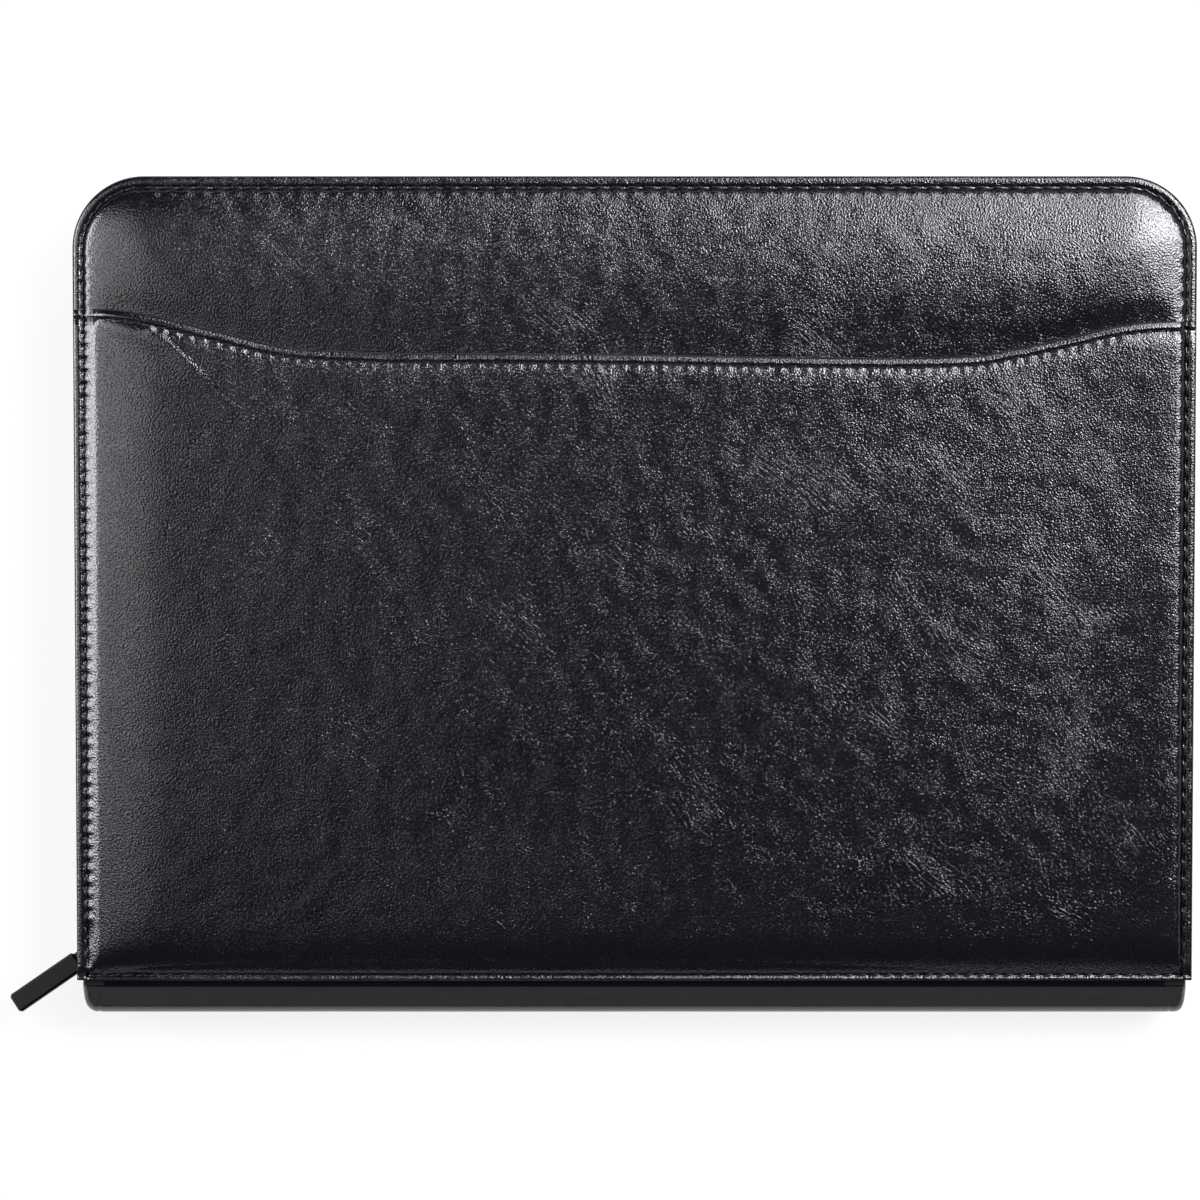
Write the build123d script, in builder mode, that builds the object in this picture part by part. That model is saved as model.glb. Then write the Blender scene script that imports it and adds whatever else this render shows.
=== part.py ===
"""Zippered padfolio, closed and lying on its back cover.

X runs along the spine, Y from the spine to the zipped opening edge, Z from the
back cover up to the front cover. The origin is the middle of the face that the
case lies on. All sizes are in millimetres.
"""

import os
from math import cos, pi, radians, sin

from build123d import *

# Writing pad, and the room that the case leaves round it
pad_length = 279.4           # along the spine
pad_width = 215.9
side_room = 31.8             # pad to the cover's left and right edges
opening_room = 16.05         # pad to the cover's opening edge
fold_room = 13.15            # pad to the cover's fold edge
sheets_t = 3.2
card_t = 0.8
binding_width = 12.0
binding_t = 0.3

# Case, overall
zip_gap = 19.1               # between the two linings, spanned by the zip
corner_radius = 22.0         # both corners of the opening edge
clearance = 0.3              # between pieces that are not sewn together

# Sheet thicknesses
leather_t = 1.0
foam_t = 1.5
board_t = 1.6
lining_t = 0.5
tape_t = 0.8                 # zip tape, and the spine strip sewn in level with it
panel_t = 0.6                # inner pocket panels

# Sewn edge of a cover
pad_inset = 4.6              # edge of the cover to the flank of its pad
pad_edge_radius = 2.0
edge_roll_radius = 0.9
tape_sewn_inset = 1.5        # how near to the edge the sewn-in tape reaches
wall_inset = 8.0             # edge of the cover to the standing zip wall

# Spine strip
spine_bulge = 8.9
spine_end_inset = 3.2        # end of the cover to the end of the strip
spine_bend_radius = 5.5
spine_sewn_width = 8.0       # how far the strip runs in under each cover
spine_end_radius = 3.0
spine_board_t = 1.2
spine_board_height = 10.0

# Outer front pocket
pocket_gap = 0.3
pocket_lining_t = 0.4
mouth_from_opening = 54.7    # opening edge to the mouth's straight middle
mouth_left_rise = 14.0
mouth_left_run = 86.0
mouth_right_rise = 10.6
mouth_right_run = 72.0
facing_reveal = 0.9          # pocket lining standing out above the mouth
pocket_edge_inset = 0.2
pocket_edge_radius = 1.4

# Zip
tooth_height = 3.0           # of one row, across the zip
tooth_t = 2.6
row_gap = 1.4                # between the two rows, where the slider's post runs
stop_length = 2.5
stop_grip = 2.0              # how far a stop reaches down over its tape
stop_cap = 0.8

# Slider and its pull
slider_length = 11.0
slider_plate_t = 1.2
slider_lip = 1.2
slider_corner = 1.8
post_length = 3.0
post_width = 0.8
slider_from_fold = 6.8       # middle of the closed slider from the cover's fold edge
front_row_setback = 2.2      # slider's mouth to the first tooth of the front row
bail_width = 2.4
bail_length = 6.0
bail_t = 0.8
bail_eye = 1.6
link_wire = 1.0
link_length = 5.0            # between the middles of the link's two ends
link_width = 4.2
link_bend_radius = 1.2
pull_angle = 34.6            # the pull leans this far from square-out towards the spine
pull_roll = 15.0             # and is rolled this far about its own length
pull_width = 6.4
pull_t = 2.6
pull_reach = 25.5            # eye to the far end
pull_chamfer = 0.7
pull_eye_radius = 0.9
pull_tongue_t = 1.2
pull_tongue_end = 1.5
pull_tongue_chamfer = 1.3

# Holder that the pad's card is tucked into
holder_rim = 4.0
holder_margin = 1.5          # between the card and the holder's rim
holder_slit = 44.7           # head of the pad to the holder's slit

# Organiser on the inside of the front cover
file_pocket_side_inset = 19.5
file_pocket_top_inset = 15.0
file_pocket_mouth = 40.1     # fold edge to the mouth of the pocket
file_pocket_rim = 4.0
file_pocket_gap = 0.6
organiser_drop = 41.5        # top of the file pocket to the card pockets and the window
card_pocket_width = 105.0
card_pocket_inset = 30.0     # right end of the file pocket to the card pockets
card_pocket_heights = (102.0, 84.0, 66.0)
window_inset = 28.0          # left end of the file pocket to the window's frame
window_height = 84.0
window_border = 9.0
window_corner = 5.0
vinyl_t = 0.3
vinyl_overlap = 4.0
pen_loop_radius = 5.0
pen_loop_t = 0.9
pen_loop_length = 25.0
pen_loop_from_fold = 21.1
pen_tab_width = 18.0

# Sizes worked out from these
cover_width = pad_length + 2 * side_room
case_depth = spine_bulge + fold_room + pad_width + opening_room
pad_t = lining_t + board_t + foam_t + leather_t
margin_t = lining_t + tape_t + leather_t
pocket_t = pocket_gap + pocket_lining_t + leather_t
back_z = pad_t                           # inner face of the back lining
front_z = back_z + zip_gap               # inner face of the front lining
middle_z = (back_z + front_z) / 2        # where the two rows of teeth meet
case_height = front_z + pad_t + pocket_t
half_width = cover_width / 2
opening_y = case_depth / 2
spine_y = -case_depth / 2
fold_y = spine_y + spine_bulge           # edge of both covers along the spine
pad_middle_y = fold_y + fold_room + pad_width / 2
spine_length = cover_width - 2 * spine_end_inset
pocket_mouth = opening_y - mouth_from_opening
tape_middle = wall_inset + tape_t / 2
wall_inner = wall_inset + tape_t
board_inset = wall_inner + clearance
foam_inset = pad_inset + leather_t
tooth_foot = row_gap / 2 + tooth_height  # from the middle of the zip

os.makedirs("parts", exist_ok=True)


def cover_outline(inset, fold_inset):
    """A cover's outline, drawn in on its three zipped sides and along its fold."""
    side = half_width - inset
    top = opening_y - inset
    low = fold_y + fold_inset
    radius = corner_radius - inset
    with BuildSketch() as outline:
        with BuildLine():
            Line((-side, low), (side, low))
            Line((side, low), (side, top - radius))
            RadiusArc((side, top - radius), (side - radius, top), -radius)
            Line((side - radius, top), (radius - side, top))
            RadiusArc((radius - side, top), (-side, top - radius), -radius)
            Line((-side, top - radius), (-side, low))
        make_face()
    return outline.sketch


def zip_band(outer, inner, end_y):
    """A band along the three zipped sides, open towards the spine and ending at end_y."""
    with BuildSketch() as band:
        add(cover_outline(outer, end_y - fold_y))
        add(cover_outline(inner, end_y - fold_y - leather_t), mode=Mode.SUBTRACT)
    return band.sketch


def s_bend_radius(run, rise):
    """Radius of two equal arcs that carry a level line up by rise over run."""
    return (run**2 + rise**2) / (4 * rise)


def pocket_outline(side_inset, fold_inset, mouth_lift):
    """The outer pocket's outline: square at the fold, with a dipped mouth."""
    level = pocket_mouth + mouth_lift
    left, right = (-half_width, level + mouth_left_rise), (half_width, level + mouth_right_rise)
    left_foot, right_foot = (mouth_left_run - half_width, level), (half_width - mouth_right_run, level)
    left_turn = (mouth_left_run / 2 - half_width, level + mouth_left_rise / 2)
    right_turn = (half_width - mouth_right_run / 2, level + mouth_right_rise / 2)
    left_radius = s_bend_radius(mouth_left_run, mouth_left_rise)
    right_radius = s_bend_radius(mouth_right_run, mouth_right_rise)
    low = fold_y + fold_inset
    with BuildSketch() as outline:
        with BuildLine():
            RadiusArc(left, left_turn, left_radius)
            RadiusArc(left_turn, left_foot, -left_radius)
            Line(left_foot, right_foot)
            RadiusArc(right_foot, right_turn, -right_radius)
            RadiusArc(right_turn, right, right_radius)
            Polyline(right, (half_width, low), (-half_width, low), left)
        make_face()
        Rectangle(cover_width - 2 * side_inset, 2 * case_depth, mode=Mode.INTERSECT)
    return outline.sketch


def mirrored(piece):
    """The back cover's twin of a front cover piece, turned over about the middle of the zip."""
    with BuildPart() as twin:
        add(piece)
        mirror(about=Plane.XY.offset(middle_z), mode=Mode.REPLACE)
    return twin.part


def save(part, name):
    """Label a finished piece and write it as its own file."""
    part.label = name
    export_step(part, f"parts/{name}.step")


# Stiff board, padding foam and lining of a cover
with BuildPart() as front_board:
    with BuildSketch(Plane.XY.offset(front_z + lining_t)):
        add(cover_outline(board_inset, board_inset))
    extrude(amount=board_t)

with BuildPart() as front_foam:
    with BuildSketch(Plane.XY.offset(front_z + lining_t + tape_t)):
        add(cover_outline(foam_inset, foam_inset))
    extrude(amount=board_t + foam_t - tape_t)
    fillet(front_foam.faces().sort_by(Axis.Z)[-1].edges(), pad_edge_radius - leather_t)
    foam_envelope = front_foam.part
    add(front_board.part, mode=Mode.SUBTRACT)

with BuildPart() as front_lining:
    with BuildSketch(Plane.XY.offset(front_z)):
        add(cover_outline(board_inset, clearance))
    extrude(amount=lining_t)

# Leather skin: a padded middle, and a rolled edge that closes over the sewn-in tape
with BuildPart() as front_leather:
    with BuildSketch(Plane.XY.offset(front_z)):
        add(cover_outline(0, 0))
    extrude(amount=margin_t)
    fillet(front_leather.edges().filter_by(Axis.Z, reverse=True), edge_roll_radius)
    with BuildSketch(Plane.XY.offset(front_z + lining_t)):
        add(cover_outline(pad_inset, pad_inset))
    extrude(amount=pad_t - lining_t)
    fillet(front_leather.faces().sort_by(Axis.Z)[-1].edges(), pad_edge_radius)
    add(foam_envelope, mode=Mode.SUBTRACT)
    with BuildSketch(Plane.XY.offset(front_z)):
        add(cover_outline(wall_inset - clearance, -leather_t))
    extrude(amount=lining_t, mode=Mode.SUBTRACT)
    with BuildSketch(Plane.XY.offset(front_z + lining_t)):
        add(cover_outline(tape_sewn_inset, -leather_t))
    extrude(amount=tape_t, mode=Mode.SUBTRACT)

# Zip tape: sewn flange, and a standing wall that runs on into the spine
tape_end_y = spine_y + spine_bend_radius + clearance
flange_end_y = fold_y + spine_sewn_width + clearance
with BuildPart() as front_tape:
    with BuildSketch(Plane.XY.offset(front_z + lining_t)):
        add(zip_band(tape_sewn_inset, wall_inner, flange_end_y))
    extrude(amount=tape_t)
    with BuildSketch(Plane.XY.offset(middle_z + tooth_foot)):
        add(zip_band(wall_inset, wall_inner, tape_end_y))
    extrude(amount=front_z + lining_t - middle_z - tooth_foot)

# Rows of teeth along the edges of the two tapes
with BuildPart() as back_teeth:
    with BuildSketch(Plane.XY.offset(middle_z - tooth_foot)):
        row_end_y = tape_end_y + stop_length + clearance
        add(zip_band(tape_middle - tooth_t / 2, tape_middle + tooth_t / 2, row_end_y))
    extrude(amount=tooth_height)

slider_y = fold_y + slider_from_fold
front_row_start = slider_y + slider_length / 2 + front_row_setback
with BuildPart() as front_teeth:
    with BuildSketch(Plane.XY.offset(middle_z + row_gap / 2)):
        add(zip_band(tape_middle - tooth_t / 2, tape_middle + tooth_t / 2, fold_y))
        with Locations((-half_width, fold_y)):
            Rectangle(cover_width, 2 * (front_row_start - fold_y), mode=Mode.SUBTRACT)
    extrude(amount=tooth_height)

# Metal stops crimped over the edge of the back tape at both its ends
tape_x = half_width - tape_middle
stop_y = tape_end_y + stop_length / 2
with BuildPart() as zip_stops:
    with BuildSketch(Plane.XY.offset(middle_z - tooth_foot - stop_grip)):
        with Locations((-tape_x, stop_y), (tape_x, stop_y)):
            Rectangle(tooth_t, stop_length)
    extrude(amount=stop_grip + stop_cap)
    with BuildSketch(Plane.XY.offset(middle_z - tooth_foot - stop_grip)):
        with Locations((-tape_x, stop_y), (tape_x, stop_y)):
            Rectangle(tape_t, stop_length)
    extrude(amount=stop_grip, mode=Mode.SUBTRACT)

# Spine strip: a soft channel whose two legs are sewn in under the covers
strip_top = front_z + lining_t + tape_t
strip_low = back_z - lining_t - tape_t
with BuildPart() as spine_leather:
    with BuildSketch(Plane.YZ.offset(-spine_length / 2)):
        with BuildLine():
            strip_path = FilletPolyline(
                (fold_y + spine_sewn_width, strip_top),
                (spine_y, strip_top),
                (spine_y, strip_low),
                (fold_y + spine_sewn_width, strip_low),
                radius=spine_bend_radius,
            )
            offset(amount=-tape_t, side=Side.LEFT, closed=True)
        make_face()
    extrude(amount=spine_length)
    with BuildSketch():
        with Locations((0, spine_y + case_depth / 2)):
            RectangleRounded(spine_length, case_depth, spine_end_radius)
    extrude(amount=case_height, mode=Mode.INTERSECT)

spine_board_length = spine_length - 4 * spine_end_radius
with BuildPart() as spine_board:
    with BuildSketch(Plane.XZ.offset(-spine_y - tape_t)):
        with Locations((0, middle_z)):
            Rectangle(spine_board_length, spine_board_height)
    extrude(amount=-spine_board_t)

with BuildPart() as spine_lining:
    with BuildSketch(Plane.XZ.offset(-spine_y - tape_t - spine_board_t)):
        with Locations((0, middle_z)):
            Rectangle(spine_board_length, spine_board_height)
    extrude(amount=-lining_t)

# Outer pocket: a panel drawn over the front cover's pad, and its lining
pocket_z = front_z + margin_t
pocket_top = front_z + pad_t + pocket_t
pocket_wall_inset = pad_inset - pocket_gap
with BuildPart() as pocket_panel:
    with BuildSketch(Plane.XY.offset(pocket_z)):
        add(pocket_outline(pocket_edge_inset, pocket_edge_inset, 0))
    extrude(amount=leather_t)
    with BuildSketch(Plane.XY.offset(pocket_z)):
        add(pocket_outline(pocket_wall_inset - leather_t, pocket_wall_inset - leather_t, 0))
    extrude(amount=pocket_top - pocket_z)
    crest = pocket_panel.faces().sort_by(Axis.Z)[-1].edges()
    fillet(crest.filter_by(Axis.Y) + crest.sort_by(Axis.Y)[:1], pocket_edge_radius)
    with BuildSketch(Plane.XY.offset(pocket_z)):
        add(pocket_outline(pocket_wall_inset, pocket_wall_inset, case_depth))
    extrude(amount=pocket_top - pocket_z - leather_t, mode=Mode.SUBTRACT)

with BuildPart() as pocket_lining:
    with BuildSketch(Plane.XY.offset(pocket_top - leather_t - pocket_lining_t)):
        add(pocket_outline(pad_inset, pad_inset, facing_reveal))
    extrude(amount=pocket_lining_t)

# Slider: two plates over the zip, lips that hold the teeth in, and a post between them
channel = tooth_t / 2 + clearance
slider_half_width = tooth_foot + clearance + slider_lip
lip_depth = channel - tape_t / 2 - clearance
slider_out = tape_x + channel + slider_plate_t
with BuildPart() as slider_body:
    for plate_x in (-slider_out, -tape_x + channel):
        with BuildSketch(Plane.YZ.offset(plate_x)):
            with Locations((slider_y, middle_z)):
                RectangleRounded(slider_length, 2 * slider_half_width, slider_corner)
        extrude(amount=slider_plate_t)
    for lip_x in (-tape_x - channel, -tape_x + channel - lip_depth):
        with BuildSketch(Plane.YZ.offset(lip_x)):
            for side in (-1, 1):
                with Locations((slider_y, middle_z + side * (slider_half_width - slider_lip / 2))):
                    Rectangle(slider_length - 2 * slider_corner, slider_lip)
        extrude(amount=lip_depth)
    with BuildSketch(Plane.YZ.offset(-tape_x - channel)):
        with Locations((slider_y - slider_length / 2 + post_length / 2 + slider_corner / 2, middle_z)):
            SlotOverall(post_length, post_width)
    extrude(amount=2 * channel)

# Bail: an arch on the slider's outer plate, with an eye for the link
bail_height = bail_eye + bail_t
with BuildPart() as slider_bail:
    with BuildSketch(Plane.XY.offset(middle_z - bail_width / 2)):
        with BuildLine():
            Polyline(
                (-slider_out, slider_y - bail_length / 2),
                (-slider_out - bail_height, slider_y - bail_length / 2 + bail_t),
                (-slider_out - bail_height, slider_y + bail_length / 2 - bail_t),
                (-slider_out, slider_y + bail_length / 2),
                close=True,
            )
        make_face()
        with Locations((-slider_out - bail_eye / 2, slider_y)):
            Rectangle(bail_eye, bail_length - 4 * bail_t, mode=Mode.SUBTRACT)
    extrude(amount=bail_width)

# Link: a wire ring from the bail's eye to the pull's eye
lean = radians(pull_angle)
outward = Vector(-cos(lean), -sin(lean), 0)
bail_pin = Vector(-slider_out - bail_eye / 2, slider_y, middle_z)
pull_pin = bail_pin + outward * link_length
link_middle = (bail_pin + pull_pin) / 2
link_plane = Plane(origin=link_middle, x_dir=outward, z_dir=outward.cross(Vector(0, 0, 1)))
with BuildPart() as pull_link:
    with BuildLine(link_plane):
        ring_path = FilletPolyline(
            (link_length / 2, link_width / 2),
            (link_length / 2, -link_width / 2),
            (-link_length / 2, -link_width / 2),
            (-link_length / 2, link_width / 2),
            radius=link_bend_radius,
            close=True,
        )
    with BuildSketch(Plane(origin=ring_path @ 0, z_dir=ring_path % 0)):
        Circle(link_wire / 2)
    sweep(path=ring_path)

# Pull: a chamfered bar with a thinner tongue for its eye
roll = radians(pull_roll)
across = outward.cross(Vector(0, 0, 1))
pull_up = Vector(0, 0, 1) * cos(roll) + across * sin(roll)
pull_plane = Plane(origin=pull_pin, x_dir=outward, z_dir=pull_up)
tongue_root = pull_tongue_end
with BuildPart() as zip_pull:
    with BuildSketch(pull_plane.offset(-pull_t / 2)):
        with Locations(((pull_reach + tongue_root) / 2, 0)):
            Rectangle(pull_reach - tongue_root, pull_width)
    extrude(amount=pull_t)
    chamfer(zip_pull.edges(), pull_chamfer)
    with BuildSketch(pull_plane.offset(-pull_tongue_t / 2)):
        with BuildLine():
            Polyline(
                (tongue_root + pull_chamfer, pull_width / 2 - pull_chamfer),
                (pull_tongue_chamfer - pull_tongue_end, pull_width / 2 - pull_chamfer),
                (-pull_tongue_end, pull_width / 2 - pull_chamfer - pull_tongue_chamfer),
                (-pull_tongue_end, pull_tongue_chamfer + pull_chamfer - pull_width / 2),
                (pull_tongue_chamfer - pull_tongue_end, pull_chamfer - pull_width / 2),
                (tongue_root + pull_chamfer, pull_chamfer - pull_width / 2),
                close=True,
            )
        make_face()
    extrude(amount=pull_tongue_t)
    with BuildSketch(pull_plane.offset(-pull_tongue_t)):
        Circle(pull_eye_radius)
    extrude(amount=2 * pull_tongue_t, mode=Mode.SUBTRACT)

# Writing pad: a stiff back card tucked under the holder, sheets above it, bound at the head
card_z = back_z
holder_z = card_z + card_t
sheets_z = holder_z + panel_t
sheets_top = sheets_z + sheets_t
with BuildPart() as pad_card:
    with BuildSketch(Plane.XY.offset(card_z)):
        with Locations((0, pad_middle_y)):
            Rectangle(pad_length, pad_width)
    extrude(amount=card_t)

with BuildPart() as pad_sheets:
    with BuildSketch(Plane.XY.offset(sheets_z)):
        with Locations((0, pad_middle_y)):
            Rectangle(pad_length, pad_width)
    extrude(amount=sheets_t)

head_x = -pad_length / 2
with BuildPart() as pad_binding:
    with BuildSketch(Plane.XZ.offset(-pad_middle_y - pad_width / 2)):
        with BuildLine():
            Polyline(
                (head_x - binding_t, card_z),
                (head_x, card_z),
                (head_x, holder_z),
                (head_x + binding_width, holder_z),
                (head_x + binding_width, sheets_z),
                (head_x, sheets_z),
                (head_x, sheets_top),
                (head_x + binding_width, sheets_top),
                (head_x + binding_width, sheets_top + binding_t),
                (head_x - binding_t, sheets_top + binding_t),
                close=True,
            )
        make_face()
    extrude(amount=pad_width)

# Pad holder: a panel sewn to the back lining on three sides, with its slit towards the head
holder_end = pad_length / 2 + holder_margin + holder_rim
holder_width = pad_width + 2 * (holder_margin + holder_rim)
holder_slit_x = head_x + holder_slit
holder_middle = (holder_slit_x + holder_end) / 2
with BuildPart() as pad_holder:
    with BuildSketch(Plane.XY.offset(card_z)):
        with Locations((holder_middle, pad_middle_y)):
            Rectangle(holder_end - holder_slit_x, holder_width)
    extrude(amount=card_t + panel_t)
    with BuildSketch(Plane.XY.offset(card_z)):
        with Locations((holder_middle - holder_rim, pad_middle_y)):
            Rectangle(holder_end - holder_slit_x, holder_width - 2 * holder_rim)
    extrude(amount=card_t, mode=Mode.SUBTRACT)

# Organiser: a file pocket across the front lining, open towards the spine
file_z = front_z - file_pocket_gap - panel_t
file_top = opening_y - file_pocket_top_inset
file_mouth = fold_y + file_pocket_mouth
file_middle = (file_mouth + file_top) / 2
file_depth = file_top - file_mouth
file_length = cover_width - 2 * file_pocket_side_inset
with BuildPart() as file_pocket:
    with BuildSketch(Plane.XY.offset(file_z)):
        with Locations((0, file_middle)):
            Rectangle(file_length, file_depth)
    extrude(amount=panel_t + file_pocket_gap)
    with BuildSketch(Plane.XY.offset(file_z + panel_t)):
        with Locations((0, file_middle - file_pocket_rim)):
            Rectangle(file_length - 2 * file_pocket_rim, file_depth)
    extrude(amount=file_pocket_gap, mode=Mode.SUBTRACT)

# Card pockets, each a little shorter than the one behind it
organiser_middle_y = file_top - organiser_drop - card_pocket_width / 2
card_pocket_bottom = file_length / 2 - card_pocket_inset
card_pockets = []
for layer, height in enumerate(card_pocket_heights):
    with BuildPart() as card_pocket:
        with BuildSketch(Plane.XY.offset(file_z - layer * panel_t)):
            with Locations((card_pocket_bottom - height / 2, organiser_middle_y)):
                Rectangle(height, card_pocket_width)
        extrude(amount=-panel_t)
    card_pockets.append(card_pocket.part)

# Identity window: a clear sheet behind a leather frame
window_middle = (window_inset + window_height / 2 - file_length / 2, organiser_middle_y)
opening_size = (window_height - 2 * window_border, card_pocket_width - 2 * window_border)
with BuildPart() as window_vinyl:
    with BuildSketch(Plane.XY.offset(file_z)):
        with Locations(window_middle):
            Rectangle(opening_size[0] + 2 * vinyl_overlap, opening_size[1] + 2 * vinyl_overlap)
    extrude(amount=-vinyl_t)

with BuildPart() as window_frame:
    with BuildSketch(Plane.XY.offset(file_z)):
        with Locations(window_middle):
            RectangleRounded(window_height, card_pocket_width, window_corner)
            RectangleRounded(*opening_size, window_corner, mode=Mode.SUBTRACT)
    extrude(amount=-panel_t - vinyl_t)
    add(window_vinyl.part, mode=Mode.SUBTRACT)

# Pen loop: an elastic tube under a sewn tab, beside the spine
pen_outer = pen_loop_radius + pen_loop_t
pen_z = front_z - panel_t - pen_outer
pen_loop_y = fold_y + pen_loop_from_fold
with BuildPart() as pen_loop:
    with BuildSketch(Plane.YZ.offset(-pen_loop_length / 2)):
        with Locations((pen_loop_y, pen_z)):
            Circle(pen_outer)
        with Locations((pen_loop_y, front_z - panel_t)):
            Rectangle(pen_tab_width, 2 * panel_t)
        with Locations((pen_loop_y, pen_z)):
            Circle(pen_loop_radius, mode=Mode.SUBTRACT)
    extrude(amount=pen_loop_length)

# Every piece under the name that it is known by
pieces = {
    "front_cover_leather": front_leather.part,
    "front_cover_foam": front_foam.part,
    "front_cover_board": front_board.part,
    "front_lining": front_lining.part,
    "front_zip_tape": front_tape.part,
    "front_zip_teeth": front_teeth.part,
    "back_cover_leather": mirrored(front_leather.part),
    "back_cover_foam": mirrored(front_foam.part),
    "back_cover_board": mirrored(front_board.part),
    "back_lining": mirrored(front_lining.part),
    "back_zip_tape": mirrored(front_tape.part),
    "back_zip_teeth": back_teeth.part,
    "zip_end_stops": zip_stops.part,
    "spine_leather": spine_leather.part,
    "spine_board": spine_board.part,
    "spine_lining": spine_lining.part,
    "pocket_panel": pocket_panel.part,
    "pocket_lining": pocket_lining.part,
    "slider_body": slider_body.part,
    "slider_bail": slider_bail.part,
    "pull_link": pull_link.part,
    "zip_pull": zip_pull.part,
    "pad_card": pad_card.part,
    "pad_sheets": pad_sheets.part,
    "pad_binding": pad_binding.part,
    "pad_holder": pad_holder.part,
    "file_pocket": file_pocket.part,
    "window_vinyl": window_vinyl.part,
    "window_frame": window_frame.part,
    "pen_loop": pen_loop.part,
}
for number, pocket in enumerate(card_pockets, start=1):
    pieces[f"card_pocket_{number}"] = pocket
for piece_name, piece in pieces.items():
    save(piece, piece_name)

# Axes of the moving joints, for the record
bend = spine_bend_radius - tape_t / 2
fold_axis_y = spine_y + spine_bend_radius - bend * pi / 4
fold_axis_low = strip_low + spine_bend_radius - bend * pi / 4
fold_axis_high = strip_top - spine_bend_radius + bend * pi / 4
lift = (case_height - fold_axis_low - fold_axis_high) / 2
print("height", case_height, "fold axes y", fold_axis_y, "z", fold_axis_low + lift, fold_axis_high + lift)
print("link axis", bail_pin, "pull axis", pull_pin)
print("slider travel", opening_y - corner_radius - clearance - slider_length / 2 - slider_y)
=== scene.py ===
"""Zippered padfolio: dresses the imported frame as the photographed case, laid out as a Blender add-on."""

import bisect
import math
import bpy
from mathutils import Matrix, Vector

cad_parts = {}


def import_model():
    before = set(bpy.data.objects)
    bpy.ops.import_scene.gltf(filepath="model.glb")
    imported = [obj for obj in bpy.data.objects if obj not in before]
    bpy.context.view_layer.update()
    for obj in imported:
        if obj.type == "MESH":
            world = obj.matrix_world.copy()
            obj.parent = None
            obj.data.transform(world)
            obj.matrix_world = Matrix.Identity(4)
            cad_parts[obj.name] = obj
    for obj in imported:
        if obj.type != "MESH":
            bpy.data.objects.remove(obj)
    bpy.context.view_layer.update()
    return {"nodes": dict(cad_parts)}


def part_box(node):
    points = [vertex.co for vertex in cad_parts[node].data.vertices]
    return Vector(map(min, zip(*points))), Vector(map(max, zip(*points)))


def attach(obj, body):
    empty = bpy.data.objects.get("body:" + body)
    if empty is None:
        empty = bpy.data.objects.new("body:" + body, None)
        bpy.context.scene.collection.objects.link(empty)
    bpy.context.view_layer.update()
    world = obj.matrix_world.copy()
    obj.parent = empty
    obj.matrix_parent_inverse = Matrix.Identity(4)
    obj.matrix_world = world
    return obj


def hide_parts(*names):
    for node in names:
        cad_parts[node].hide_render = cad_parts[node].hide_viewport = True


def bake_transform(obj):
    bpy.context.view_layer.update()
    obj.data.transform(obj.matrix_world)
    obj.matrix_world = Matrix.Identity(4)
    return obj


bl_info = {
    "name": "Zippered Padfolio",
    "version": (1, 0, 0),
    "blender": (4, 5, 0),
    "location": "View3D > Sidebar > Padfolio",
    "description": "Builds a padded leather document case with its zip, pocket, writing pad and organiser",
    "category": "Add Mesh",
}

import bmesh
import bpy
from bpy.props import FloatProperty, FloatVectorProperty, PointerProperty
from mathutils import Matrix, Vector, noise

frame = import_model()
MM = 0.001


def box_mm(node):
    """Lowest and highest corner of a CAD node, in millimetres."""
    return [[value / MM for value in corner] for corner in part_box(node)]


# Every mesh is worked out in millimetres in the frame's axes and scaled to metres when it is finished.
COVER_LOW, COVER_HIGH = box_mm("front_cover_leather")
HALF, OPENING_Y = COVER_HIGH[0], COVER_HIGH[1]
# The covers' leather reaches a little way past the CAD's edge over the soft spine.
FOLD_OVERHANG = 1.4
FOLD_Y = COVER_LOW[1] - FOLD_OVERHANG
# The inner faces of the two covers' leather, and the level halfway between them.
FRONT_Z, BACK_Z = COVER_LOW[2], box_mm("back_cover_leather")[1][2]
MIDDLE_Z = (FRONT_Z + BACK_Z) / 2
SPINE_HALF = box_mm("spine_leather")[1][0]
TAPE_END_Y = box_mm("front_zip_tape")[0][1]
CORNER_RADIUS = 22.0
# How far in from its own edge each seam of the outer leather runs.
SEAM_INSET = 2.9
FOLD_SEAM = 1.6
MOUTH_SEAM = 2.8
STRIP_SEAM = 3.7
# The middle of the pocket's mouth lies this far from the case's middle.
MOUTH_MIDDLE = 72.3
# How far inside the cover's edge the pocket, its facing, the zip's tape and the teeth lie.
POCKET_INSET = 0.2
FACING_INSET = 6.5
TAPE_INSET = 8.0
TOOTH_INSET = 8.4
# The middle of the spine lies this far out from the fold.
SPINE_DROP = 10.55
# The part of a stitch that shows between its holes, and how far the thread stands above the seam.
STITCH_SHARE = 0.8
STITCH_LIFT = 0.12
PANEL_THICKNESS = 0.6


def linear(code):
    """Turn an sRGB hex colour into linear red, green and blue."""
    values = [int(code[i:i + 2], 16) / 255 for i in (1, 3, 5)]
    return tuple(v / 12.92 if v <= 0.04045 else ((v + 0.055) / 1.055) ** 2.4 for v in values)


def colour(name, code, text):
    """A colour property whose default is an sRGB hex value."""
    return FloatVectorProperty(
        name=name, description=text, subtype="COLOR", size=3, min=0, max=1, default=linear(code))


def size(name, default, text):
    """A length property in millimetres."""
    return FloatProperty(name=name, description=text, default=default, min=0.05, max=500.0)


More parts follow.
